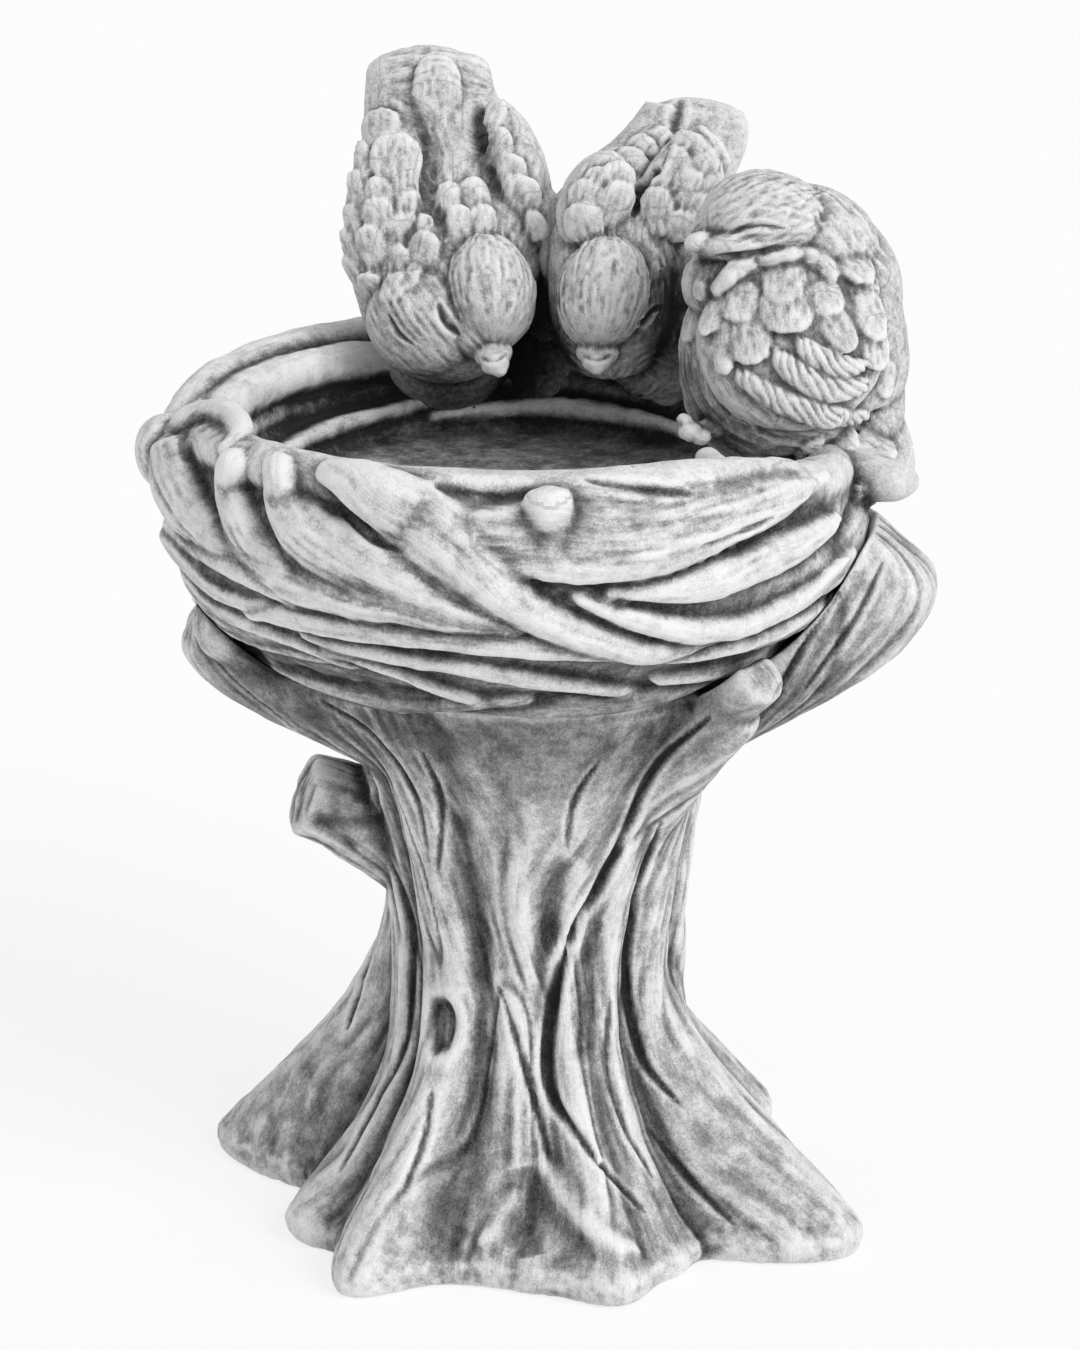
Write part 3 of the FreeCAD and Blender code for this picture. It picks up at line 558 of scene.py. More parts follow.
def fuse(shells: Sequence[Shell], voxel: float) -> Skin:
    """One skin round all the shells, by Blender's voxel remesh.

    Args:
        shells: Closed shells that may lie in one another.
        voxel: Edge of a voxel.

    Returns:
        The skin, still stepped by the voxels.
    """
    whole = merge(shells)
    mesh = bpy.data.meshes.new("clay")
    mesh.from_pydata((whole.points * MM).tolist(), [], whole.faces.tolist())
    clay = put("clay", mesh)
    remesh = clay.modifiers.new("one skin", "REMESH")
    remesh.mode = "VOXEL"
    remesh.voxel_size = voxel * MM
    done = clay.evaluated_get(bpy.context.evaluated_depsgraph_get()).to_mesh()
    points = np.empty(len(done.vertices) * 3, np.float32)
    done.vertices.foreach_get("co", points)
    corners = np.empty(len(done.loops), np.int32)
    done.loops.foreach_get("vertex_index", corners)
    edges = np.empty(len(done.edges) * 2, np.int32)
    done.edges.foreach_get("vertices", edges)
    places = points.reshape(-1, 3).astype(float) / MM
    skin = Skin(places, corners.reshape(-1, 4), edges.reshape(-1, 2), places.copy())
    bpy.data.objects.remove(clay)
    bpy.data.meshes.remove(mesh)
    return skin


def thinned(mesh: bpy.types.Mesh, share: float) -> bpy.types.Mesh:
    """A copy with a share of the faces left, fewest where the mesh is flat.

    Args:
        mesh: The mesh, which is removed.
        share: How many of its faces stay.

    Returns:
        The thinned copy.
    """
    clay = put("clay", mesh)
    clay.modifiers.new("fewer faces", "DECIMATE").ratio = share
    graph = bpy.context.evaluated_depsgraph_get()
    done = bpy.data.meshes.new_from_object(
        clay.evaluated_get(graph), preserve_all_data_layers=True, depsgraph=graph
    )
    bpy.data.objects.remove(clay)
    bpy.data.meshes.remove(mesh)
    return done


def write_piece(
    name: str, skin: Skin, material: bpy.types.Material, body: str, shade_and_darkening: Array
) -> bpy.types.Object:
    """Makes a skin into a piece of the scene that stands for the CAD node of its name.

    Args:
        name: The CAD node.
        skin: The finished skin.
        material: Its finish.
        body: The CAD body that carries it.
        shade_and_darkening: How much darker than its relief each place is, painted shade included.

    Returns:
        The new object.
    """
    # Painted shade and other darkening are taken off the relief, which the material reads as its tone
    relief = skin.relief() - shade_and_darkening
    mesh = bpy.data.meshes.new(name + "_skin")
    mesh.vertices.add(len(skin.points))
    mesh.vertices.foreach_set("co", (skin.points * MM).astype(np.float32).ravel())
    mesh.loops.add(skin.quads.size)
    mesh.loops.foreach_set("vertex_index", skin.quads.ravel().astype(np.int32))
    mesh.polygons.add(len(skin.quads))
    mesh.polygons.foreach_set("loop_start", np.arange(len(skin.quads), dtype=np.int32) * 4)
    mesh.polygons.foreach_set("use_smooth", np.ones(len(skin.quads), bool))
    layer = mesh.attributes.new("relief", "FLOAT", "POINT")
    layer.data.foreach_set("value", relief.astype(np.float32))
    layer = mesh.attributes.new("fibre", "FLOAT_VECTOR", "POINT")
    layer.data.foreach_set("vector", (skin.fibre * MM).astype(np.float32).ravel())
    mesh.update(calc_edges=True)
    mesh.validate()
    if len(skin.quads) > FACE_LIMIT:
        mesh = thinned(mesh, FACE_LIMIT / len(skin.quads))
    mesh.materials.clear()
    mesh.materials.append(material)
    piece = put(name + "_sculpted", mesh)
    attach(piece, body)
    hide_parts(name)
    LOG.info("%s: %d corners", name, len(mesh.loops))
    return piece


def linear(code: str) -> tuple[float, float, float, float]:
    """A colour written as six hex digits, as linear light.

    Args:
        code: The digits.

    Returns:
        Red, green, blue and full cover.
    """
    parts = [int(code[k : k + 2], 16) / 255.0 for k in (0, 2, 4)]
    light = [p / 12.92 if p <= 0.04045 else ((p + 0.055) / 1.055) ** 2.4 for p in parts]
    return (light[0], light[1], light[2], 1.0)


class Graph:
    """The nodes of a material or of the surroundings."""

    def __init__(self, owner: bpy.types.Material | bpy.types.World) -> None:
        """Clears the owner's nodes."""
        owner.use_nodes = True
        self.tree = owner.node_tree
        self.tree.nodes.clear()

    def add(self, kind: str, inputs: dict[Any, Any] | None = None, **settings: Any) -> bpy.types.Node:
        """Adds a node.

        Args:
            kind: Its type without the leading ShaderNode.
            inputs: A constant, or the socket to join, for each input by name or number.
            settings: Its properties.

        Returns:
            The node.
        """
        node = self.tree.nodes.new("ShaderNode" + kind)
        for key, value in settings.items():
            setattr(node, key, value)
        for key, value in (inputs or {}).items():
            if isinstance(value, bpy.types.NodeSocket):
                self.tree.links.new(value, node.inputs[key])
            else:
                node.inputs[key].default_value = value
        return node

    def calc(self, operation: str, *values: Any) -> bpy.types.NodeSocket:
        """The result of one reckoning with sockets and constants."""
        return self.add("Math", dict(enumerate(values)), operation=operation).outputs[0]


@dataclass(frozen=True)
class AntiquedStone:
    """Cast stone with a dark wash left in its hollows and pale rubbed crests, dry and without gloss.

    Sizes are in metres.
    """

    name: str
    tones: tuple[tuple[float, str], ...] = (
        (0.0, "262626"),
        (0.17, "4c4c4c"),
        (0.36, "727272"),
        (0.56, "a2a2a2"),
        (0.76, "d4d4d4"),
        (0.98, "ededed"),
    )
    cloud: float = 0.020
    blotch: float = 0.0042
    fibre: float = 0.0022
    fleck: float = 0.0024
    grain: float = 0.0008
    roughness: float = 0.88
    gloss: float = 0.2
    # Pits: size of the cells, share that have one, start and end of its edge, darkness and depth
    pit: float = 0.0085
    pit_share: float = 0.09
    pit_edge: Pair = (0.05, 0.11)
    pit_dark: float = 0.6
    pit_depth: float = 1.5
    # Fine height: share of the fibres, strength and depth
    fibre_height: float = 2.2
    bump: Pair = (0.6, 0.0007)
    lift: float = 0.0

    def build(self) -> bpy.types.Material:
        """The stone as a material: relief, with the painted shade already taken off, clouds, blotches and
        grain summed into one tone.
        """
        material = bpy.data.materials.new(self.name)
        graph = Graph(material)
        place = graph.add("TexCoord").outputs["Object"]
        # The relief attribute carries the painted shade as well as the dark wash of the hollows
        relief = graph.add("Attribute", attribute_name="relief").outputs["Fac"]
        fibre = graph.add("Attribute", attribute_name="fibre").outputs["Vector"]
        tone = graph.calc("ADD", relief, self.lift)
        # Where from, size, detail, half range that counts, and share of the tone
        layers = (
            (place, self.cloud, 6.0, 0.25, 0.065),
            (place, self.blotch, 5.0, 0.16, 0.045),
            (fibre, self.fibre, 3.0, 0.12, 0.055),
            (place, self.fleck, 4.0, 0.06, 0.036),
            (place, self.grain, 2.0, 0.12, 0.05),
        )
        fields = []
        for spot, size, detail, half, share in layers:
            speck = {"Vector": spot, "Scale": 1 / size, "Detail": detail, "Roughness": 0.7}
            fields.append(graph.add("TexNoise", speck).outputs["Fac"])
            span = {"From Min": 0.5 - half, "From Max": 0.5 + half, "To Min": -share, "To Max": share}
            part = graph.add("MapRange", {"Value": fields[-1], **span}, interpolation_type="SMOOTHSTEP")
            tone = graph.calc("ADD", part.outputs[0], tone)
        cells = graph.add("TexVoronoi", {"Vector": place, "Scale": 1 / self.pit}).outputs
        chosen = graph.calc("LESS_THAN", cells["Color"], self.pit_share)
        span = {"From Min": self.pit_edge[0], "From Max": self.pit_edge[1], "To Min": 1.0, "To Max": 0.0}
        near = graph.add("MapRange", {"Value": cells["Distance"], **span}).outputs[0]
        pits = graph.calc("MULTIPLY", chosen, near)
        tone = graph.calc("MULTIPLY_ADD", pits, -self.pit_dark, tone)
        ramp = graph.add("ValToRGB", {"Fac": tone})
        stops = ramp.color_ramp.elements
        for number, (spot, code) in enumerate(self.tones):
            stop = stops[number] if number < 2 else stops.new(spot)
            stop.position = spot
            stop.color = linear(code)
        height = graph.calc("MULTIPLY_ADD", fields[2], self.fibre_height, fields[4])
        height = graph.calc("MULTIPLY_ADD", pits, -self.pit_depth, height)
        bump = graph.add("Bump", {"Strength": self.bump[0], "Distance": self.bump[1], "Height": height})
        look = {
            "Base Color": ramp.outputs["Color"],
            "Roughness": self.roughness,
            "Specular IOR Level": self.gloss,
            "Normal": bump.outputs["Normal"],
        }
        surface = graph.add("BsdfPrincipled", look)
        graph.add("OutputMaterial", {"Surface": surface.outputs["BSDF"]})
        return material


@dataclass(frozen=True)
class PlainFinish:
    """A finish of one colour with a fine grain. Sizes are in metres."""

    name: str
    colour: str
    roughness: float
    metallic: float = 0.0
    grain: float = 0.0012
    bump: Pair = (0.2, 0.0003)

    def build(self) -> bpy.types.Material:
        """The finish as a material."""
        material = bpy.data.materials.new(self.name)
        graph = Graph(material)
        place = graph.add("TexCoord").outputs["Object"]
        speck = {"Vector": place, "Scale": 1 / self.grain, "Detail": 3.0}
        grain = graph.add("TexNoise", speck).outputs["Fac"]
        bump = graph.add("Bump", {"Strength": self.bump[0], "Distance": self.bump[1], "Height": grain})
        look = {
            "Base Color": linear(self.colour),
            "Roughness": self.roughness,
            "Metallic": self.metallic,
            "Normal": bump.outputs["Normal"],
        }
        surface = graph.add("BsdfPrincipled", look)
        graph.add("OutputMaterial", {"Surface": surface.outputs["BSDF"]})
        return material


@dataclass
class Seat:
    """The round room between the nest and the stump's crown: an arc turned about the nest's axis."""

    axis_x: float = -8.0
    height: float = 222.0
    wall_centre: Pair = (49.3, 301.5)
    wall_curve: float = 80.0
    room: float = 8.5

    def wall(self, z: Array, extra: float = 0.0) -> Array:
        """Radius of the nest's plain wall at a height, or of a surface that far outside it.

        Args:
            z: Heights.
            extra: How far outside.

        Returns:
            The radii.
        """
        level = np.clip(z, self.height, self.wall_centre[1])
        rise = level - self.wall_centre[1]
        return self.wall_centre[0] + np.sqrt(np.maximum((self.wall_curve + extra) ** 2 - rise**2, 0.0))

    def turned(self, turn: Array, z: Array, radius: Array) -> Array:
        """Places at angles in radians about the nest's axis."""
        return np.stack([self.axis_x + radius * np.cos(turn), radius * np.sin(turn), z + 0.0 * turn], axis=-1)

    def place(self, angle: Array, z: Array, radius: Array) -> Array:
        """Places at angles in degrees about the nest's axis."""
        return self.turned(np.radians(angle), z, radius)

    def around(self, points: Array) -> tuple[Array, Array]:
        """Angles in radians about the nest's axis, and distances from it."""
        x, y = points[:, 0] - self.axis_x, points[:, 1]
        return np.arctan2(y, x), np.hypot(x, y)


@dataclass
class Stump:
    """The pedestal: a waisted trunk with spread roots, two crown branches and a sawn side branch."""

    seat: Seat
    voxel: float = 1.4
    # Trunk: radius and height at the waist, ankle and crown, and the powers by which foot and crown widen
    waist: Pair = (57.0, 112.0)
    ankle: Pair = (91.0, 92.0)
    crown: Pair = (92.0, 262.0)
    flare: Pair = (2.2, 1.6)
    # Height of the roots' noses, rounding of the lower edge, level above the crown, gap beside the nest
    nose: float = 9.0
    edge: float = 2.5
    top: float = 285.0
    clear: float = 0.3
    # Main furrows of the bark: depth, spread in degrees, power of their bend, and where they start to fade and
    # over what, as shares of the waist's height
    furrow_depth: float = 5.5
    furrow_spread: float = 6.5
    furrow_bend: float = 1.5
    furrow_fade: Pair = (0.9, 0.6)
    # Angle of each at the ground, at the waist and at the crown, and share of the depth at the crown
    furrows: Rows = (
        (222, 213, 208, 0.7),
        (245, 248, 231, 0.5),
        (276, 276, 276, 0.0),
        (297, 291, 322, 0.5),
        (314, 311, 337, 0.7),
        (4, 342, 10, 1.0),
        (22, 15, 34, 1.0),
        (66, 52, 50, 1.0),
        (82, 88, 84, 1.0),
        (128, 122, 120, 1.0),
        (142, 152, 148, 1.0),
        (186, 183, 168, 1.0),
    )
    # Roots: direction, reach, height and spread
    roots: Rows = (
        (160, 135, 130, 16),
        (207, 105, 64, 11),
        (234, 123, 96, 13),
        (287, 114, 100, 18),
        (334, 138, 108, 15),
        (42, 124, 104, 16),
        (100, 118, 100, 17),
    )
    # Branches: direction, reach, start, tip and spread
    branches: Rows = ((355, 154, 182, 256, 22), (185, 134, 182, 233, 22))
    # Slope of each branch's upper side: direction, reach, level where it starts, fall per rise
    caps: Rows = ((355, 154, 251, 1.0), (185, 134, 236, 1.3))
    # Rods: the side branch, a swelling and a nub under the right branch, two for the left tip and the right
    # branch's nose. Places with radius, and the longest rounding of their ends
    blunt: float = 3.0
    stubs: tuple[Rows, ...] = (
        ((-35, 0, 140, 24), (-58, -3, 152, 20), (-75, -5, 161, 17.5), (-90, -7, 167, 16)),
        ((26, -22, 150, 12), (46, -36, 180, 15), (62, -49, 203, 14), (76, -62, 221, 10)),
        ((64, -54, 214, 10), (72, -62, 223, 10), (78, -68, 230, 10.2), (82, -73, 235, 9.8)),
        ((-85, -22, 222, 20), (-104, -28, 234, 14), (-117, -31, 239, 11), (-125, -32, 240, 9)),
        ((-106, -28, 236, 10), (-116, -31, 241, 9), (-123, -33, 245, 8.5), (-129, -34, 247, 7)),
        ((110, -7, 240, 22), (130, -7, 249, 16), (142, -7, 252, 12), (153, -7, 252, 8)),
    )
    # Cut lines: half width, depth, sheet places
    grooves: Lines = (
        (2.2, 3.0, ((391, 862), (410, 920), (411, 970), (404, 1040), (376, 1100), (340, 1170))),
        (1.6, 3.0, ((376, 938), (360, 985), (346, 1030))),
        (2.0, 3.4, ((710, 717), (655, 768), (618, 850), (578, 925), (554, 998), (549, 1083), (583, 1142),
                    (642, 1210))),
        (1.7, 3.0, ((662, 822), (637, 890), (626, 975), (642, 1057), (680, 1105))),
        (5.5, 1.7, ((562, 856), (556, 890), (549, 925), (542, 965))),
        (1.6, 2.2, ((498, 985), (520, 1050), (536, 1105), (549, 1159))),
        (1.4, 1.6, ((421, 751), (441, 802), (438, 870))),
        (1.4, 1.6, ((320, 700), (372, 735), (412, 790), (428, 850))),
        (1.2, 1.2, ((600, 760), (575, 800), (566, 850))),
        (1.4, 1.8, ((610, 1000), (606, 1060), (622, 1120), (655, 1180))),
        (9.0, 3.0, ((520, 1166), (528, 1210), (536, 1256))),
        (4.5, -2.4, ((538, 1155), (562, 1196), (598, 1234), (640, 1252))),
        (4.5, -1.8, ((520, 1188), (500, 1220), (478, 1246))),
        (1.6, 2.0, ((432, 1090), (424, 1140), (405, 1190))),
        (1.4, 1.6, ((650, 1130), (690, 1180), (735, 1225))),
        (2.4, 4.0, ((366, 768), (372, 785), (378, 805))),
        (1.4, 1.4, ((845, 585), (805, 645), (772, 700))),
        (1.4, 1.2, ((885, 560), (855, 620), (805, 690))),
    )
    groove_lip: float = 0.12
    # The knot hole: sheet place, half sizes, height of its lip and depth
    knot: Pair = (440, 1026)
    knot_size: Triple = (7.8, 9.0, 11.3)
    knot_lip: float = 0.5
    knot_depth: float = 3.6
    # Rods run smoothly into the trunk at the tips and round a joint: distance from the axis and level where
    # the tips start, each with its span, then place and reach of the joint, its gain, and rounds of smoothing
    tip_start: Pair = (120.0, 14.0)
    tip_level: Pair = (225.0, 10.0)
    joint: Triple = (52.0, -44.0, 196.0)
    joint_reach: float = 30.0
    joint_gain: float = 1.6
    blend_rounds: int = 120
    # Grain of the bark: degrees by which it fans out, level where that starts and its span, and sway
    fan: Triple = (30.0, 115.0, 105.0)
    sway: Lumps = Lumps(45.0, 6.0, 3)
    # Fibre coordinates: radius of the winding, and how many times they are stretched along the grain
    fibre: Pair = (58.0, 7.0)
    # Ridges along the grain: lumps per radian, length, height and field
    ridges: tuple[tuple[float, float, float, int], ...] = (
        (3.4, 95.0, 1.4, 11),
        (8.0, 48.0, 0.8, 12),
        (24.0, 16.0, 0.5, 13),
    )
    # Cracks along it: lumps per radian, length, depth, field and half range of the noise that is cracked
    cracks: tuple[float, float, float, int, float] = (4.6, 70.0, 0.8, 14, 0.075)
    lumps: Lumps = Lumps(9.0, 0.4, 15)
    # Chips low on the trunk and their height, the sawn end, and the rough foot
    chips: tuple[Lumps, ...] = (Lumps(14.0, 1.0, 16), Lumps(4.5, 0.5, 19))
    chip_height: float = 0.45
    saw: Lumps = Lumps(5.0, 0.7, 17)
    rough: tuple[Lumps, ...] = (Lumps(9.0, 0.3, 20), Lumps(2.6, 0.22, 25))
    # Darkening near the ground, painted shade on the front under the nest where its shadow falls, and
    # darkening on the side branch and everywhere
    shade_and_darkening_shares: tuple[float, float, float, float] = (0.2, 0.24, 0.14, 0.03)

    def core(self, z: Array) -> Array:
        """Radius of the bare trunk, which widens by powers of the height at the foot and above the waist.

        Args:
            z: Heights.

        Returns:
            The radii.
        """
        foot = np.maximum(z - self.nose, 0.0) / (self.ankle[1] - self.nose)
        low = self.waist[0] + (self.ankle[0] - self.waist[0]) * np.maximum(1.0 - foot, 0.0) ** self.flare[0]
        rise = np.maximum(z - self.waist[1], 0.0) / (self.crown[1] - self.waist[1])
        high = self.waist[0] + (self.crown[0] - self.waist[0]) * rise ** self.flare[1]
        return np.where(z < self.waist[1], low, high)

    def radius(self, angle: Array, z: Array) -> Array:
        """Radius with roots and branches, each a bell of the angle about its own direction.

        Args:
            angle: Angles in degrees about the trunk's axis.
            z: Heights.

        Returns:
            The radii.
        """
        base = self.core(z)
        total = base.copy()
        for turn, reach, height, spread in self.roots:
            u = np.clip((z - self.nose) / (height - self.nose), 0.0, 1.0)
            swell = (reach - self.ankle[0]) * (1 - u) ** 2 * (1 + 2 * u)
            total = total + swell * bell(turn_gap(angle, turn) / spread)
        for turn, reach, start, tip, spread in self.branches:
            u = np.clip((z - start) / (tip - start), 0.0, 1.3)
            total = total + (reach - base) * np.sin(u * np.pi / 2) * bell(turn_gap(angle, turn) / spread)
        for turn, reach, level, fall in self.caps:
            limit = reach - fall * np.maximum(z - level, 0.0) + 0.02 * np.square(turn_gap(angle, turn))
            total = np.minimum(total, limit)
        return total - self.furrowed(angle, z) - self.edge * bell(z / self.edge)

    def furrowed(self, angle: Array, z: Array) -> Array:
        """Depth of the main furrows: a bell of the angle from each, which bends away from the waist.

        Args:
            angle: Angles in degrees about the trunk's axis.
            z: Heights.

        Returns:
            The depths.
        """
        waist = self.waist[1]
        low = np.clip(1.0 - z / waist, 0.0, 1.0) ** self.furrow_bend
        high = np.clip((z - waist) / (self.crown[1] - waist), 0.0, 1.0) ** self.furrow_bend
        start, span = self.furrow_fade
        depth = np.zeros_like(z)
        for ground, middle, crown, left in self.furrows:
            line = middle + turn_gap(ground, middle) * low + turn_gap(crown, middle) * high
            fade = 1.0 - (1.0 - left) * ease((z - start * waist) / (span * waist))
            depth += fade * bell(turn_gap(angle, line) / self.furrow_spread)
        return self.furrow_depth * depth

    def skin_shell(self) -> Shell:
        """The closed stump: base disc, wall up to the crown's edge, dish for the nest and its flat seat."""
        angle = np.linspace(0.0, 360.0, 480, endpoint=False)
        turn = np.radians(angle)
        levels = np.linspace(self.seat.height, self.top, 130)
        a, z = np.meshgrid(angle, levels)
        r = self.radius(a, z)
        x, y = r * np.cos(np.radians(a)), r * np.sin(np.radians(a))
        inside = np.hypot(x - self.seat.axis_x, y) < self.seat.wall(z, self.seat.room) + self.clear
        edge = levels[np.where(inside.any(0), inside.argmax(0), len(levels) - 1)]
        share = np.linspace(0.0, 1.0, 200)[:, None]
        z = share * edge[None, :]
        r = self.radius(np.broadcast_to(angle, z.shape), z)
        wall = np.stack([r * np.cos(turn), r * np.sin(turn), z], axis=-1)
        under = wall[0][None] * np.array([0.3, 0.65, 0.96])[:, None, None]
        rim = wall[-1]
        bearing, far = self.seat.around(rim)
        drop = np.linspace(1.0, 0.0, 40)[1:, None]
        level = self.seat.height - self.clear + drop * (edge[None, :] - self.seat.height + self.clear)
        room = np.minimum(self.seat.wall(level, self.seat.room) + self.clear, far)
        dish = self.seat.turned(bearing, level, room)
        middle = np.array([self.seat.axis_x, 0.0, 0.0])
        floor = middle + (dish[-1] - middle) * np.array([0.5, 0.5, 1.0])
        return ring_shell(np.concatenate([under, wall, dish, floor[None]], axis=0))

    def rods(self) -> list[Shell]:
        """The side branch, and what the two crown branches have beside their own forms."""
        made = []
        for points in self.stubs:
            curve = spline(points, 40)
            out = np.broadcast_to(UP, (len(curve), 3))
            made.append(tube(curve[:, :3], curve[:, 3], curve[:, 3], out, self.blunt))
        return made

    def bark(self, skin: Skin) -> Array:
        """Height of the bark: noise stretched along the grain, cracked where another noise crosses zero.

        The grain runs upright at the waist and fans out to the two branches: the angle is shifted by the sine
        of twice the angle from the front, growing above the waist. Low on the trunk there are chips, the sawn
        end and the foot have rough faces of their own, and the dish under the nest stays plain.

        Args:
            skin: The casting's skin.

        Returns:
            The push of every vertex.
        """
        x, y, z = skin.points.T
        angle = np.degrees(np.arctan2(y, x))
        turn, start, span = self.fan
        fan = turn * ease((z - start) / span)
        sway = self.sway.of(skin.points)
        grain = np.radians(angle - fan * np.sin(2.0 * np.radians(angle - 270.0)) + sway)
        ring = np.stack([np.cos(grain), np.sin(grain)], axis=1)
        skin.fibre = np.column_stack([ring * self.fibre[0], z / self.fibre[1]])
        bark = np.zeros(len(z))
        for rounds, length, height, seed in self.ridges:
            bark += height * noise(np.column_stack([ring * rounds, z / length]), seed)
        rounds, length, depth, seed, width = self.cracks
        bark -= depth * bell(noise(np.column_stack([ring * rounds, z / length]), seed) / width)
        bark += self.lumps.of(skin.points)
        chips = sum(layer.of(skin.points) for layer in self.chips) * ease((50.0 - z) / 40.0)
        sawn = self.saw.of(skin.points) * ease((-58.0 - x) / 12.0) * bell((z - 155.0) / 30.0)
        foot = ease((np.hypot(x, y) - 60.0) / 10.0) * ease((24.0 - z) / 14.0)
        rough = foot * sum(layer.of(skin.points) for layer in self.rough)
        _, gap = self.seat.around(skin.points)
        dish = ease((self.seat.wall(z, self.seat.room) + 3.0 - gap) / 3.0) * ease((z - 215.0) / 4.0)
        wall = ease((z + 2.0) / 10.0) * (1.0 - dish)
        return wall * (bark + self.chip_height * chips + sawn) + rough

    def knot_hole(self, skin: Skin, touch: Touch) -> Array:
        """A rounded hollow with a raised lip, left by a lost branch.

        Args:
            skin: The casting's skin.
            touch: The surface that the sheet's places fall on.

        Returns:
            The push of every vertex.
        """
        place, _ = touch.seen((self.knot,))
        gap = np.linalg.norm((skin.points - place[0]) / np.array(self.knot_size), axis=1)
        return self.knot_lip * bell((gap - 1.3) / 0.3) - self.knot_depth * ease((1.2 - gap) / 0.6)

    def blend(self, skin: Skin) -> None:
        """Smooths the tips and the joint under the right branch, so that the rods run into the trunk.

        Args:
            skin: The casting's skin.
        """
        x, y, z = skin.points.T
        start, level = self.tip_start, self.tip_level
        tips = ease((np.hypot(x, y) - start[0]) / start[1]) * ease((z - level[0]) / level[1])
        joint = bell(np.linalg.norm(skin.points - np.array(self.joint), axis=1) / self.joint_reach)
        share = np.maximum(tips, np.minimum(self.joint_gain * joint, 1.0))
        smooth = skin.average(skin.points, self.blend_rounds)
        skin.points = skin.points + share[:, None] * (smooth - skin.points)

    def painted_shade_and_darkening(self, points: Array) -> Array:
        """Painted shade on the front under the nest, where its shadow falls, and darkening in patches near the
        ground and on the side branch.

        Args:
            points: Places on the skin.

        Returns:
            The darkening of each place, painted shade included.
        """
        x, y, z = points.T
        ground, front, side, rest = self.shade_and_darkening_shares
        # Painted shadow of the nest on the front of the crown and branches
        painted_nest_shadow = ease((z - 172.0) / 45.0) * ease(-y / 40.0) * ease((138.0 - np.hypot(x, y)) / 30.0)
        patches = 0.7 + 0.6 * noise(points / 16.0, 18)
        stub = ease((-60.0 - x) / 10.0) * bell((z - 158.0) / 26.0)
        return ground * patches * ease((20.0 - z) / 20.0) + front * painted_nest_shadow + side * stub + rest

    def clear_nest(self, skin: Skin) -> None:
        """Keeps the crown outside the nest's room, the seat below its foot and the base on the floor.

        Args:
            skin: The casting's skin.
        """
        z = skin.points[:, 2]
        bearing, gap = self.seat.around(skin.points)
        room = self.seat.wall(z, self.seat.room) + 0.2
        low = self.seat.height - 0.2
        sunk = (gap < room) & (z > low)
        wide = sunk & (z > low + 2.0)
        gap = np.where(wide, room, gap)
        z = np.where(sunk & ~wide, low, z)
        skin.points = self.seat.turned(bearing, np.maximum(z, 0.0), gap)

    def build(self, material: bpy.types.Material) -> bpy.types.Object:
        """Fuses, carves and dresses the stump.

        Args:
            material: The stone.

        Returns:
            The new object.
        """
        skin = fuse([self.skin_shell()] + self.rods(), self.voxel)
        skin.relax(3)
        self.blend(skin)
        skin.push(self.bark(skin))
        touch = skin.touch()
        skin.push(self.knot_hole(skin, touch))
        skin.carve(self.grooves, touch, self.groove_lip)
        self.clear_nest(skin)
        # Painted shade under the nest and other darkening, taken off the relief
        shade_and_darkening = self.painted_shade_and_darkening(skin.points)
        return write_piece("trunk_pedestal", skin, material, "pedestal", shade_and_darkening)


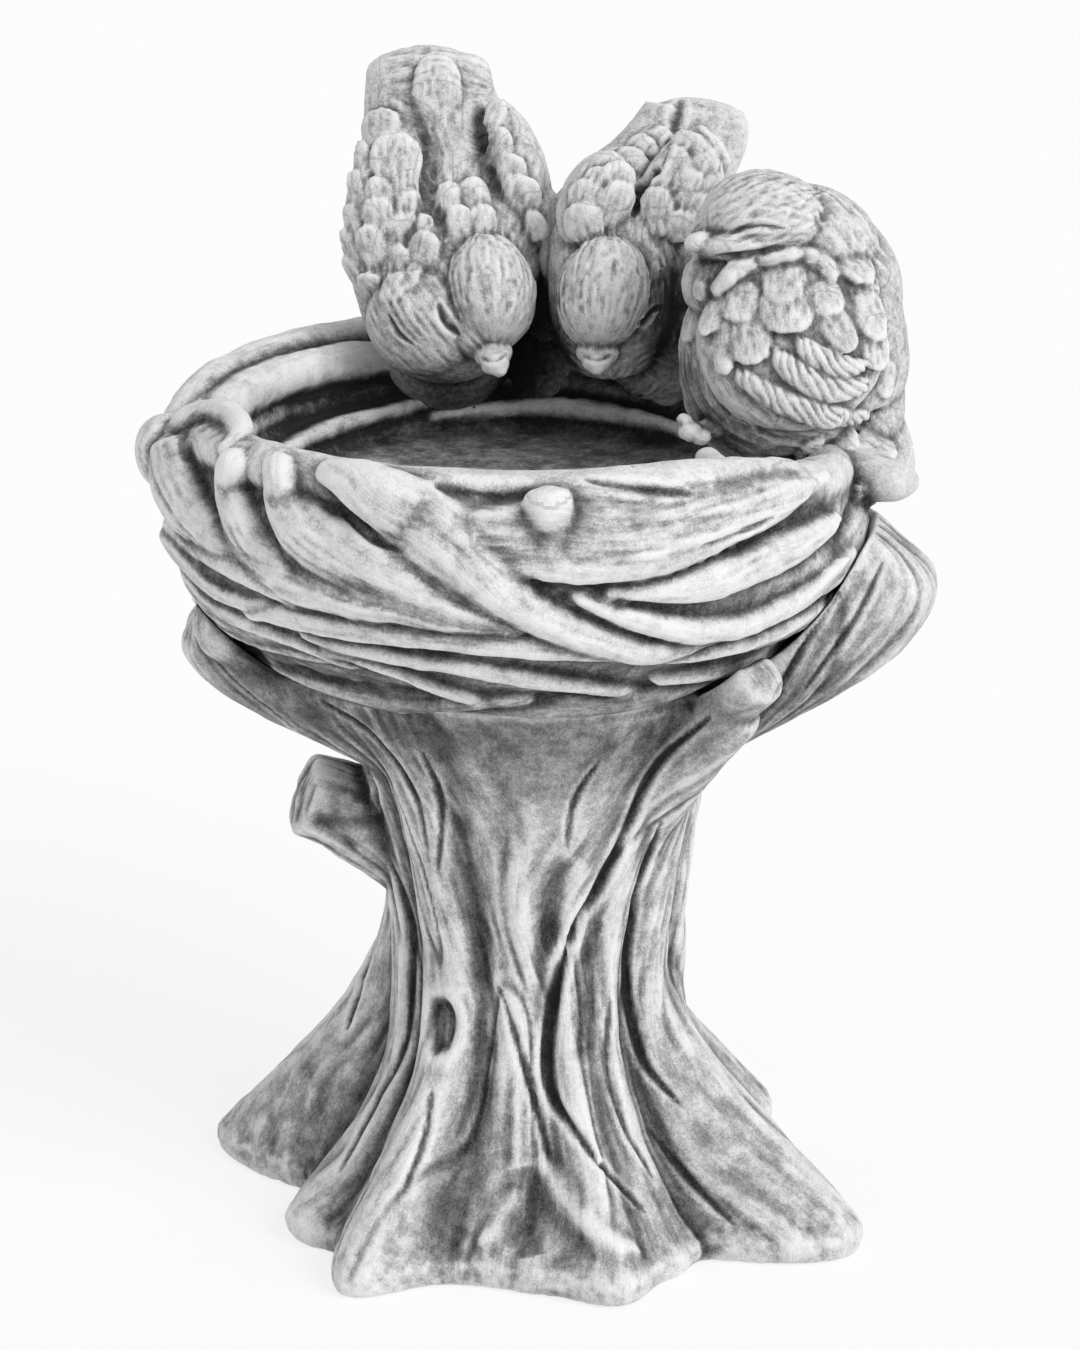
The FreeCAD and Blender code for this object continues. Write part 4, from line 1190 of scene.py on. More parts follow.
@dataclass
class Nest:
    """The basin: a bowl whose wall and rim are woven from fat twigs."""

    seat: Seat
    voxel: float = 1.35
    # Radius and height of the socket's end, of the foot and of the bowl's floor
    socket: Pair = (7.0, 255.0)
    foot: Pair = (30.0, 222.3)
    floor: Pair = (84.0, 282.0)
    # Rim: inner radius, height, and its rounded crown as radius and rise
    rim_inner: float = 106.0
    rim_top: float = 312.0
    rim_crown: Rows = ((118.0, 3.0), (111.0, 1.5))
    # Dips of the rim at the right perch and at the left: depth, direction and spread
    dips: Rows = ((15.0, 8.0, 34.0), (3.0, 186.0, 20.0))
    # The wall is thicker over both branches: by how much, and direction and spread of each
    belt: float = 9.0
    belt_ways: Rows = ((352.0, 34.0), (203.0, 36.0))
    # Twigs on the seen side: height and lift over the wall, then sheet places with half widths
    strands: Lines = (
        (7.0, 1.0, ((240, 451, 15), (234, 475, 18), (240, 509, 22), (260, 548, 25), (294, 573, 25),
                    (339, 590, 23), (389, 601, 20), (443, 613, 16), (493, 622, 10), (524, 628, 4))),
        (8.0, 1.0, ((277, 458, 15), (284, 486, 20), (295, 514, 26), (320, 540, 31), (358, 559, 31),
                    (401, 576, 28), (443, 596, 22), (485, 613, 14), (524, 627, 4))),
        (8.5, 1.0, ((318, 468, 9), (348, 480, 20), (384, 496, 31), (420, 517, 38), (452, 542, 38),
                    (480, 566, 33), (503, 588, 26), (526, 607, 20), (560, 624, 18), (602, 640, 18),
                    (639, 649, 16), (679, 643, 12), (725, 631, 6))),
        (7.0, 0.5, ((456, 528, 8), (478, 530, 22), (508, 533, 34), (550, 536, 42), (602, 541, 41),
                    (651, 536, 38), (700, 523, 33), (749, 508, 26), (786, 494, 18), (812, 482, 8),
                    (826, 474, 4))),
        (7.0, 2.0, ((602, 591, 4), (639, 589, 10), (679, 585, 16), (719, 575, 20), (755, 560, 20),
                    (792, 542, 19), (818, 526, 13), (832, 515, 5))),
        (6.0, 1.5, ((572, 594, 6), (609, 609, 10), (651, 621, 13), (694, 626, 14), (740, 620, 14),
                    (780, 603, 14), (811, 585, 13), (836, 564, 9), (850, 550, 4))),
        (5.0, 1.0, ((640, 655, 6), (700, 650, 9), (760, 634, 10), (800, 614, 10), (840, 588, 6))),
        (6.5, 1.0, ((249, 610, 6), (288, 613, 12), (344, 624, 14), (401, 632, 14), (457, 638, 13),
                    (513, 641, 13), (560, 646, 12), (624, 655, 6))),
        (6.5, 1.0, ((300, 630, 5), (340, 642, 8), (401, 655, 10), (457, 663, 11), (513, 672, 12),
                    (572, 680, 11), (633, 685, 8), (680, 678, 4))),
        (6.5, 1.0, ((320, 645, 5), (358, 656, 7), (387, 665, 8), (429, 680, 9), (471, 692, 10),
                    (513, 699, 10), (560, 702, 9), (620, 698, 5))),
        (11.0, 2.0, ((180, 440, 26), (182, 470, 34), (195, 503, 30), (222, 533, 22), (258, 560, 14),
                     (300, 585, 5))),
        (6.0, 1.0, ((166, 520, 8), (199, 545, 12), (238, 567, 13), (288, 592, 10), (320, 602, 5))),
        (5.5, 0.5, ((159, 529, 7), (182, 559, 10), (213, 587, 10), (249, 601, 8), (276, 604, 4))),
        (6.0, 0.5, ((186, 575, 6), (215, 605, 9), (260, 625, 9), (310, 645, 8), (360, 668, 5))),
    )
    # Cut lines: half width, depth, sheet places
    cuts: Lines = (
        (3.2, 3.2, ((434, 484), (468, 492), (504, 495), (538, 488))),
        (1.8, 2.0, ((586, 480), (636, 488), (692, 494))),
        (1.2, 1.2, ((340, 512), (372, 540), (402, 552))),
        (1.4, 1.4, ((700, 548), (740, 534), (776, 516))),
    )
    cut_lip: float = 0.2
    # Twigs that the camera doesn't see: angle about the axis, height and half width
    hidden: tuple[Rows, ...] = (
        ((352, 289, 4), (366, 277, 8), (384, 265, 8), (405, 256, 5)),
        ((346, 273, 4), (360, 262, 7), (378, 250, 7), (400, 244, 4)),
        ((10, 286, 6), (35, 292, 9), (60, 290, 10), (90, 274, 9), (120, 264, 5)),
        ((35, 275, 5), (65, 268, 8), (95, 258, 8), (125, 250, 5)),
        ((50, 304, 6), (80, 305, 9), (110, 297, 10), (140, 284, 8), (165, 276, 5)),
        ((90, 285, 6), (120, 278, 9), (150, 268, 9), (180, 262, 5)),
        ((110, 307, 7), (140, 304, 9), (165, 298, 10), (188, 286, 6)),
        ((60, 248, 5), (95, 240, 8), (130, 238, 8), (165, 244, 5)),
        ((140, 256, 6), (170, 252, 8), (200, 250, 8), (235, 246, 5)),
        ((15, 240, 5), (45, 234, 7), (80, 232, 5)),
        ((120, 236, 5), (150, 233, 7), (190, 236, 7), (225, 240, 5)),
        ((300, 238, 5), (330, 237, 7), (360, 242, 8), (390, 250, 5)),
        ((322, 262, 6), (340, 268, 8), (358, 276, 9), (378, 280, 6)),
        ((316, 246, 5), (340, 251, 8), (360, 259, 9), (382, 264, 6)),
        ((165, 262, 5), (185, 260, 8), (205, 256, 8), (228, 250, 5)),
        ((165, 232, 4), (200, 228, 6), (240, 229, 6), (275, 233, 4)),
        ((188, 240, 8), (208, 235, 11), (228, 232, 11), (254, 230, 8)),
        ((250, 228, 4), (280, 230, 6), (310, 231, 6), (345, 238, 4)),
        ((10, 230, 5), (70, 231, 7), (130, 230, 7), (185, 232, 5)),
    )
    # Twigs on the rim and the inner wall: angle, radius, height and half thickness
    rim: tuple[Rows, ...] = (
        ((205, 119, 309, 9), (170, 117, 308, 9), (140, 117, 308, 9), (110, 117, 309, 9), (80, 117, 309, 9),
         (50, 117, 304, 9), (25, 117, 296, 9)),
        ((45, 117, 302, 9), (20, 117, 294, 9), (0, 117, 293, 9), (-20, 118, 298, 9), (-40, 118, 306, 9)),
        ((186, 124, 307, 7), (165, 122, 313, 8), (140, 122, 316, 8), (115, 122, 317, 8)),
        ((190, 112, 308, 7), (165, 109, 311, 8), (140, 108, 312, 8), (112, 108, 311, 7)),
        ((188, 103, 298, 2), (160, 105, 300, 4), (130, 106, 297, 4), (100, 106, 300, 4), (70, 105, 297, 4),
         (40, 104, 290, 2)),
        ((165, 95, 288, 2), (140, 97, 290, 4), (120, 98, 292, 3), (105, 99, 296, 2)),
        ((110, 97, 288, 2), (80, 97, 291, 4), (45, 96, 288, 3)),
        ((-5, 70, 300, 4), (-18, 82, 297, 5), (-28, 96, 296, 5), (-32, 108, 299, 4)),
        ((6, 104, 290, 10), (0, 126, 290, 11), (-3, 142, 290, 8), (-4, 151, 290, 3)),
    )
    # The lip along the front: angle, radius, height and half thickness
    brow: Rows = (
        (192, 117, 311, 5), (205, 117, 314, 8), (235, 117, 315, 8.5), (270, 117, 315, 8.5),
        (305, 117, 314, 8), (330, 117, 308, 5),
    )
    # The nub on the front: sheet places, height over the bowl at both ends, half width and height, rounding
    # of its ends, and how far from it and over what the twigs' fibres start again
    nub: Rows = ((555, 556), (553, 536), (550, 512), (547, 490))
    nub_lift: Pair = (-1.0, 4.5)
    nub_size: Pair = (8.6, 8.0)
    nub_blunt: float = 4.0
    nub_calm: Pair = (13.0, 6.0)
    # The knot at the left end: sheet places, depth and half sizes
    knot: Rows = (
        (168, 452, -18, 12.5, 13.0, 14.0),
        (154, 458, -26, 4.0, 5.0, 5.0),
        (160, 438, -24, 5.0, 5.0, 6.0),
    )
    # The hooked twig end at the left: sheet places, depth and half thickness
    hook: Rows = (
        (178, 436, -26, 5.5), (190, 420, -28, 5.5), (208, 412, -33, 5.2), (227, 415, -44, 5.0),
        (240, 427, -58, 4.8), (239, 440, -68, 4.4), (229, 448, -72, 3.8), (220, 444, -70, 3.0),
    )
    # Fibres of a twig: width, length, height and field
    fibres: tuple[tuple[float, float, float, int], ...] = ((4.5, 34.0, 0.6, 23), (1.9, 13.0, 0.35, 24))
    weather: tuple[Lumps, ...] = (Lumps(15.0, 0.7, 21), Lumps(5.0, 0.3, 22))
    # Painted shade under the wall, where it is in shadow: amount, and the level where it starts with its span
    shade_under: Rows = ((0.18, 270.0, 34.0), (0.2, 240.0, 12.0), (0.3, 231.0, 7.0))
    # Painted shade round the right perch, where shadow falls, with its place and reach; dark wash far inside
    # the bowl, and paler floor
    shade_perch: float = 0.2
    perch: Triple = (140.0, -8.0, 292.0)
    perch_reach: float = 20.0
    wash_inside: float = 0.32
    pale_floor: float = 0.16

    def bowl(self) -> Shell:
        """The plain bowl: socket, foot, curved wall, rim and dished inside."""
        angle = np.linspace(0.0, 360.0, 240, endpoint=False)
        flat = 0.0 * angle
        top = flat + self.rim_top
        for depth, way, spread in self.dips:
            top = top - depth * bell(turn_gap(angle, way) / spread)
        wide, end = self.socket
        reach, low = self.foot
        rows = [(flat + r, flat + z) for r, z in ((3.0, end), (wide, end), (wide, low), (reach, low))]
        belt = sum(bell(turn_gap(angle, way) / spread) for way, spread in self.belt_ways)
        for w in np.linspace(0.0, 1.0, 30):
            z = low + (top - low) * w
            thick = self.belt * belt * ease(w / 0.06) * ease((0.72 - w) / 0.15)
            rows.append((self.seat.wall(z) - 2.0 + thick - 3.0 * ease((w - 0.8) / 0.2), z))
        rows += [(flat + radius, top + rise) for radius, rise in self.rim_crown]
        for v in np.linspace(1.0, 0.0, 16):
            reach = self.floor[0] + (self.rim_inner - self.floor[0]) * v**0.6
            rows.append((flat + reach, self.floor[1] + (top - 3.0 - self.floor[1]) * v**1.7))
        for s in (0.8, 0.55, 0.3, 0.1):
            rows.append((flat + self.floor[0] * s, flat + self.floor[1] - (1 - s)))
        return ring_shell(np.stack([self.seat.place(angle, z, r) for r, z in rows]))

    def lip(self) -> Shell:
        """The rounded lip along the front."""
        curve = spline(self.brow, 80)
        path = self.seat.place(curve[:, 0], curve[:, 2], curve[:, 1])
        return tube(path, curve[:, 3] * 1.15, curve[:, 3], np.broadcast_to(UP, path.shape))

    def twigs(self, touch: Touch) -> tuple[list[Shell], list[Guide]]:
        """All twigs laid on the bowl, and the guide of each.

        Args:
            touch: The surface that the sheet's places fall on.

        Returns:
            Shells and guides.
        """
        laid = []
        for high, lift, sheet in self.strands:
            curve = spline(sheet, 70)
            path, out = touch.seen(curve)
            out = unit(spline(out[::6], 70))
            wide = np.maximum(curve[:, 2], 2.0) * SIGHT.step
            laid.append((path + out * lift, wide, np.minimum(high, 0.8 + 0.72 * wide), out))
        for points in self.hidden:
            curve = spline(points, 110)
            path = self.seat.place(curve[:, 0], curve[:, 1], self.seat.wall(curve[:, 1]) + 0.5)
            out = unit((path - np.array([self.seat.axis_x, 0.0, 0.0])) * np.array([1.0, 1.0, 0.0]))
            thick = curve[:, 2] * (0.3 + 0.7 * np.sqrt(np.sin(np.linspace(0.0, np.pi, len(curve)))))
            laid.append((path, thick * 1.25, np.minimum(thick, 7.0), out))
        for points in self.rim:
            curve = spline(points, 150)
            path = self.seat.place(curve[:, 0], curve[:, 2], curve[:, 1])
            laid.append((path, curve[:, 3], curve[:, 3], np.broadcast_to(UP, path.shape)))
        curve = spline(self.hook, 50)
        path = SIGHT.place(curve[:, :2], curve[:, 2])
        laid.append((path, curve[:, 3], curve[:, 3], np.broadcast_to(SIGHT.axes()[2], path.shape)))
        shells = [tube(path, wide, high, out) for path, wide, high, out in laid]
        guides = [Guide.on(path, out, np.maximum(wide, high)) for path, wide, high, out in laid]
        return shells, guides

    def knobs(self, touch: Touch) -> list[Shell]:
        """The front nub and the knot at the left end.

        Args:
            touch: The surface that the sheet's places fall on.

        Returns:
            Their shells.
        """
        path, out = touch.seen(spline(self.nub, 30))
        path = path + out * np.linspace(*self.nub_lift, len(path))[:, None]
        wide, high = (np.full(len(path), half) for half in self.nub_size)
        front = tube(path, wide, high, out, self.nub_blunt)
        return [front] + [ball(SIGHT.spot(*row[:3]), row[3:]) for row in self.knot]

    def calm(self, skin: Skin, touch: Touch) -> Array:
        """0 on the front nub, which has no fibre lines, and 1 away from it.

        Args:
            skin: The casting's skin.
            touch: The surface that the sheet's places fall on.

        Returns:
            The share of every vertex.
        """
        spot = touch.seen(self.nub)[0].mean(0)
        start, span = self.nub_calm
        return ease((np.linalg.norm(skin.points - spot, axis=1) - start) / span)

    def grain(self, skin: Skin, guides: list[Guide]) -> Array:
        """Fibre lines along every twig: noise that is long along it and short across it.

        Args:
            skin: The casting's skin.
            guides: The twigs or feathers on it.

        Returns:
            The push of every vertex.
        """
        push = np.zeros(len(skin.points))
        for number, guide in enumerate(guides):
            near, way, side, weight = skin.along(guide)
            shift = np.full(len(near), 7.3 * number)
            lines = np.zeros(len(near))
            for width, length, height, seed in self.fibres:
                lines += height * noise(np.column_stack([side / width, way / length, shift]), seed)
            push[near] = weight * lines
            skin.fibre[near] = np.column_stack([side, way / 7.0, 40.0 * shift])
        return push

    def painted_shade_and_darkening(self, points: Array) -> Array:
        """Painted shade under the wall and round the right perch, where shadow falls; dark wash far inside the
        bowl, whose floor is paler.

        Args:
            points: Places on the skin.

        Returns:
            The darkening of each place, painted shade included.
        """
        y, z = points[:, 1], points[:, 2]
        _, gap = self.seat.around(points)
        floor = ease((302.0 - z) / 8.0) * ease((102.0 - gap) / 8.0)
        # Painted shade round the right perch and under the wall, where shadow falls
        perch = bell(np.linalg.norm(points - np.array(self.perch), axis=1) / self.perch_reach)
        under = sum(amount * ease((level - z) / span) for amount, level, span in self.shade_under)
        hollow = ease((112.0 - gap) / 8.0) * ease((310.0 - z) / 8.0)
        inside = self.wash_inside * hollow * ease(y / 60.0)
        return self.shade_perch * perch + under + inside - self.pale_floor * floor

    def clear_crown(self, skin: Skin) -> None:
        """Keeps the wall inside the room that the stump's crown leaves, and the foot flat.

        Args:
            skin: The casting's skin.
        """
        z = skin.points[:, 2]
        bearing, gap = self.seat.around(skin.points)
        room = self.seat.wall(z, self.seat.room) - 0.4
        gap = np.where(z < self.floor[1], np.minimum(gap, room), gap)
        skin.points = self.seat.turned(bearing, np.maximum(z, self.seat.height), gap)

    def build(self, material: bpy.types.Material) -> bpy.types.Object:
        """Fuses, carves and dresses the nest.

        Args:
            material: The stone.

        Returns:
            The new object.
        """
        bowl = merge([self.bowl(), self.lip()])
        touch = Touch(bowl.points, bowl.faces)
        shells, guides = self.twigs(touch)
        skin = fuse([bowl] + shells + self.knobs(touch), self.voxel)
        skin.relax(3)
        skin.push(self.grain(skin, guides) * self.calm(skin, touch))
        skin.push(sum(layer.of(skin.points) for layer in self.weather))
        skin.carve(self.cuts, skin.touch(), self.cut_lip)
        self.clear_crown(skin)
        return write_piece("nest_basin", skin, material, "nest", self.painted_shade_and_darkening(skin.points))


@dataclass
class Bird:
    """One bird: rounded masses, feathers pressed on them, and a streaked head.

    Places are given on the sheet, with a depth along Y where they aren't pressed on a surface.
    """

    node: str
    seed: int
    perch: Triple
    head: Triple
    beak: Triple
    # Body line: sheet place, half width on the sheet, depth and half depth
    body: Rows
    # Masses: sheet place, depth, half sizes across, upright and deep, lean to the right in degrees
    masses: Rows
    # Lobes: sheet place, width and length on the sheet, lean of the free end from upright in degrees
    lobes: Rows = ()
    # Long feathers: height, lift, barb step, then sheet places with half widths
    feathers: tuple[tuple[float, float, float, Rows], ...] = ()
    # Cut lines: half width, depth, sheet places
    cuts: Lines = ()
    cut_lip: float = 0.25
    # Combed down: half width, then sheet places
    combs: tuple[tuple[float, Rows], ...] = ()
    # Painted shade in the gaps and under the bodies, where shadow falls: sheet place, reach and amount
    painted_shades: Rows = ()
    # Hidden side: height where the tail starts, way the feathers point, width and length of a scale, width of
    # a tail feather, and height of both
    tail: float = 385.0
    grow: float = 1.0
    scale: Pair = (9.0, 7.5)
    tail_step: float = 7.0
    back_height: Pair = (1.15, 1.3)
    # Foot on the rim: half sizes, and height of its middle over the perch
    foot: Triple = (17.0, 17.0, 11.0)
    foot_rise: float = 6.0
    # Down all over the bird
    down: tuple[Lumps, ...] = (Lumps(5.0, 0.25, 40), Lumps(2.2, 0.08, 45))
    voxel: float = 0.85

    def forms(self) -> Shell:
        """The body along its line, the masses, and a foot on the rim."""
        right, up, near = SIGHT.axes()
        curve = spline(self.body, 90)
        path = SIGHT.place(curve[:, :2], curve[:, 3])
        toward = np.broadcast_to(near, path.shape)
        made = [tube(path, curve[:, 2] * SIGHT.step, curve[:, 4], toward, 7.0, 72)]
        for x, y, depth, across, upright, deep, lean in self.masses:
            turn = math.radians(lean)
            first = right * math.cos(turn) - up * math.sin(turn)
            second = right * math.sin(turn) + up * math.cos(turn)
            made.append(ball(SIGHT.spot(x, y, depth), (across, upright, deep), first, second))
        made.append(ball(np.array(self.perch) + self.foot_rise * UP, self.foot))
        return merge(made)

    def plumage(self, touch: Touch) -> tuple[list[Shell], list[Guide]]:
        """Feathers pressed on the masses, and their guides with those of combed down, whose step is -1.

        Args:
            touch: The surface that the sheet's places fall on.

        Returns:
            Shells and guides.
        """
        right, up, _ = SIGHT.axes()
        made, guides = [], []
        if self.lobes:
            places, outs = touch.seen(self.lobes)
            for row, place, out in zip(self.lobes, places, outs):
                wide, long_ = 1.18 * row[2] * SIGHT.step, 1.45 * row[3] * SIGHT.step
                lean = math.radians(row[4])
                along = up * math.cos(lean) + right * math.sin(lean)
                along = unit(along - np.dot(along, out) * out)
                root = place - out * 0.05 * long_ - along * 0.12 * long_
                made.append(lobe(root, along, out, (long_, wide, 0.3 * wide + 0.8), 0.17 * long_))
                line = place + along * np.linspace(-0.5, 0.5, 9)[:, None] * long_
                across = np.broadcast_to(np.cross(out, along), line.shape)
                guides.append(Guide(line, across, np.full(len(line), 0.5 * wide)))
        for high, lift, barb, sheet in self.feathers:
            curve = spline(sheet, 44)
            path, out = touch.seen(curve)
            out = unit(spline(out[::4], 44))
            wide = curve[:, 2] * SIGHT.step
            path = path + out * lift
            made.append(tube(path, wide, np.minimum(high, 0.8 * wide), out))
            guides.append(Guide.on(path, out, wide, barb))
        for wide, sheet in self.combs:
            path, out = touch.seen(traced(sheet))
            guides.append(Guide.on(path, out, np.full(len(path), wide), -1.0))
        return made, guides

    def barbs(self, skin: Skin, guides: list[Guide]) -> Array:
        """Grooves: fine along a lobe, deeper along combed down, slanting cuts in a long feather.

        The cuts are bells of the way along less 1.3 times the way across, repeated at each barb step.

        Args:
            skin: The casting's skin.
            guides: The twigs or feathers on it.

        Returns:
            The push of every vertex.
        """
        push = np.zeros(len(skin.points))
        for number, guide in enumerate(guides):
            near, way, side, weight = skin.along(guide)
            places = skin.points[near]
            shift = np.full(len(near), 31.0 * number)
            if guide.step > 0.0:
                turn = (way - 1.3 * side) / guide.step + Lumps(6.0, 0.45, 60).of(places, self.seed)
                deep = 0.8 + Lumps(4.0, 0.5, 65).of(places, self.seed)
                push[near] += weight * (0.25 - deep * bell((turn % 1.0 - 0.5) / 0.24))
                skin.fibre[near] = np.column_stack([way - 1.5 * side, (way + side) / 4.0, shift])
            else:
                deep, long_ = (0.24, 4.5) if guide.step == 0.0 else (0.38, 8.0)
                lines = noise(np.column_stack([side / 1.6, way / long_, shift]), 50 + self.seed)
                push[near] += deep * weight * lines
                skin.fibre[near] = np.column_stack([side, way / 3.0, shift])
        return push

    def back(self, skin: Skin) -> Array:
        """Plumage of the side that the camera doesn't see: rows of rounded scales, and long tail feathers.

        Two sets of scales, half a scale apart both ways, rise toward their tips, and the higher one counts.
        A tail feather is the root of a sine across the tail.

        Args:
            skin: The casting's skin.

        Returns:
            The push of every vertex.
        """
        right, up, near = SIGHT.axes()
        wander = Lumps(11.0, 1.6, 70)
        across = skin.points @ right + wander.of(skin.points, self.seed)
        along = self.grow * (skin.points @ up) + wander.of(skin.points, 5 + self.seed)
        away = ease((0.1 - skin.normals() @ near) / 0.35)
        hidden = away > 0.5
        skin.fibre[hidden] = np.column_stack([across, along / 4.0, 90.0 + 0.0 * along])[hidden]
        scales = np.zeros(len(across))
        for shift in (0.0, 0.5):
            side = (across / self.scale[0] + shift) % 1.0 - 0.5
            rise = (along / (2.0 * self.scale[1]) + shift) % 1.0
            scales = np.maximum(scales, rise * ease((1.0 - 1.4 * side**2 - rise) / 0.1))
        tail = ease((skin.points[:, 2] - self.tail) / 14.0)
        feathers = np.sqrt(np.abs(np.sin(np.pi * across / self.tail_step)))
        low, high = self.back_height
        return away * ((1.0 - tail) * low * (scales - 0.5) + tail * high * (feathers - 0.6))

    def streaks(self, skin: Skin) -> Array:
        """Fine feather lines on the head: noise stretched along lines that leave the beak.

        Args:
            skin: The casting's skin.

        Returns:
            The push of every vertex.
        """
        head = SIGHT.spot(*self.head)
        axis = unit(SIGHT.spot(*self.beak) - head)
        side = unit(np.cross(axis, (0.1, 0.2, 1.0)))
        lift = np.cross(axis, side)
        rel = skin.points - head
        far = np.linalg.norm(rel, axis=1)
        around = np.arctan2(rel @ side, rel @ lift)
        slope = np.arccos(np.clip(rel @ axis / np.maximum(far, 1e-6), -1.0, 1.0))
        ring = np.stack([np.cos(around), np.sin(around)], axis=1)
        near = far < 25.0
        skin.fibre[near] = np.column_stack([ring * 19.0, slope * 8.0])[near]
        sway = slope + Lumps(6.0, 0.25, 33).of(skin.points, self.seed)
        lines = noise(np.column_stack([ring * 11.0, sway * 4.6]), 31 + self.seed)
        broad = noise(np.column_stack([ring * 4.0, sway * 3.5]), 35 + self.seed)
        calm = 0.25 + 0.75 * ease((slope - 0.5) / 0.5)
        return calm * (0.5 * lines + 0.25 * broad) * ease((27.0 - far) / 4.0)

    def build(self, material: bpy.types.Material) -> bpy.types.Object:
        """Fuses, carves and dresses the bird.

        Args:
            material: The stone.

        Returns:
            The new object.
        """
        base = self.forms()
        touch = Touch(base.points, base.faces)
        shells, guides = self.plumage(touch)
        skin = fuse([base] + shells, self.voxel)
        skin.relax(2)
        down = sum(layer.of(skin.points, self.seed) for layer in self.down)
        skin.push(self.streaks(skin) + self.barbs(skin, guides) + self.back(skin) + down)
        touch = skin.touch()
        skin.carve(self.cuts, touch, self.cut_lip)
        # Painted shade pooled in the gaps between and under the birds, where shadow falls
        shade_and_darkening = np.zeros(len(skin.points))
        for spot, (_, _, reach, amount) in zip(touch.seen(self.painted_shades)[0], self.painted_shades):
            shade_and_darkening += amount * bell(np.linalg.norm(skin.points - spot, axis=1) / reach)
        return write_piece(self.node, skin, material, "nest", shade_and_darkening)


def left_bird() -> Bird:
    """The left bird, which leans in to drink with its tail up."""
    return Bird(
        "bird_left",
        1,
        (-40.2, 112.5, 318.0),
        head=(490, 292, 66),
        beak=(496, 366, 50),
        body=(
            (428, 45, 34, 130, 4), (428, 62, 60, 128, 8), (430, 100, 68, 122, 12), (438, 145, 82, 114, 17),
            (446, 190, 97, 106, 23), (447, 235, 102, 98, 28), (446, 280, 97, 92, 31), (446, 325, 82, 88, 31),
            (446, 362, 56, 86, 24), (446, 380, 28, 86, 12),
        ),
        masses=(
            (490, 292, 66, 17.3, 22.5, 20, -10),
            (472, 322, 64, 12, 15, 14, -30),
            (493, 354, 55, 7.4, 5.4, 7, -8),
            (495, 364, 50, 5.4, 4.2, 5, -8),
            (499, 370, 48, 3.2, 2.8, 3, 0),
            (386, 215, 84, 16, 33, 13, 5),
            (516, 170, 98, 12, 28, 12, -18),
            (428, 318, 72, 24, 22, 22, 0),
            (538, 215, 92, 10, 15, 10, -20),
            (545, 265, 102, 12, 30, 12, 0),
            (540, 345, 112, 16, 26, 14, 0),
            (447, 330, 106, 29, 32, 30, 0),
        ),
        lobes=(
            (381, 124, 40, 28, -8), (395, 153, 46, 34, -5), (405, 174, 28, 36, 0), (362, 160, 22, 36, -18),
            (357, 188, 22, 32, -18), (378, 193, 24, 30, -10), (378, 213, 29, 28, -10), (410, 205, 27, 28, 0),
            (404, 226, 29, 26, 5), (426, 226, 19, 24, 8), (424, 246, 29, 26, 10), (370, 240, 27, 28, -10),
            (352, 219, 20, 28, -15), (349, 245, 20, 30, -15), (394, 261, 35, 32, 5), (410, 274, 24, 26, 10),
            (370, 284, 25, 28, -8), (394, 285, 28, 22, 5), (352, 270, 20, 28, -10), (446, 194, 26, 24, 0),
            (475, 190, 28, 24, 0), (458, 219, 24, 26, 0), (484, 217, 24, 24, 0), (496, 114, 20, 28, 20),
            (499, 144, 27, 31, 15), (512, 169, 29, 27, 15), (520, 193, 40, 35, 10), (533, 222, 28, 22, 10),
            (437, 84, 44, 54, 0),
        ),
        combs=(
            (13, ((384, 306), (398, 332), (424, 360))),
            (10, ((418, 296), (438, 326), (460, 350))),
            (9, ((392, 118), (412, 128), (424, 152), (430, 178))),
            (9, ((402, 66), (440, 62), (474, 72))),
        ),
        painted_shades=(
            (548, 300, 14, 0.5), (543, 340, 18, 0.7), (440, 380, 12, 0.3), (520, 378, 12, 0.5),
            (424, 140, 8, 0.12), (485, 135, 7, 0.14), (425, 285, 6, 0.15), (452, 398, 18, 0.5),
            (505, 395, 14, 0.5), (400, 330, 10, 0.12),
        ),
        cuts=(
            (4.6, 1.8, ((408, 98), (422, 128), (432, 165), (434, 205), (446, 240))),
            (4.2, 1.8, ((478, 100), (483, 135), (488, 170), (502, 205))),
            (1.4, 2.2, ((438, 303), (446, 322), (460, 336))),
            (1.0, 1.4, ((388, 314), (398, 332), (414, 346))),
            (1.0, 1.2, ((480, 358), (493, 361), (505, 356))),
        ),
    )


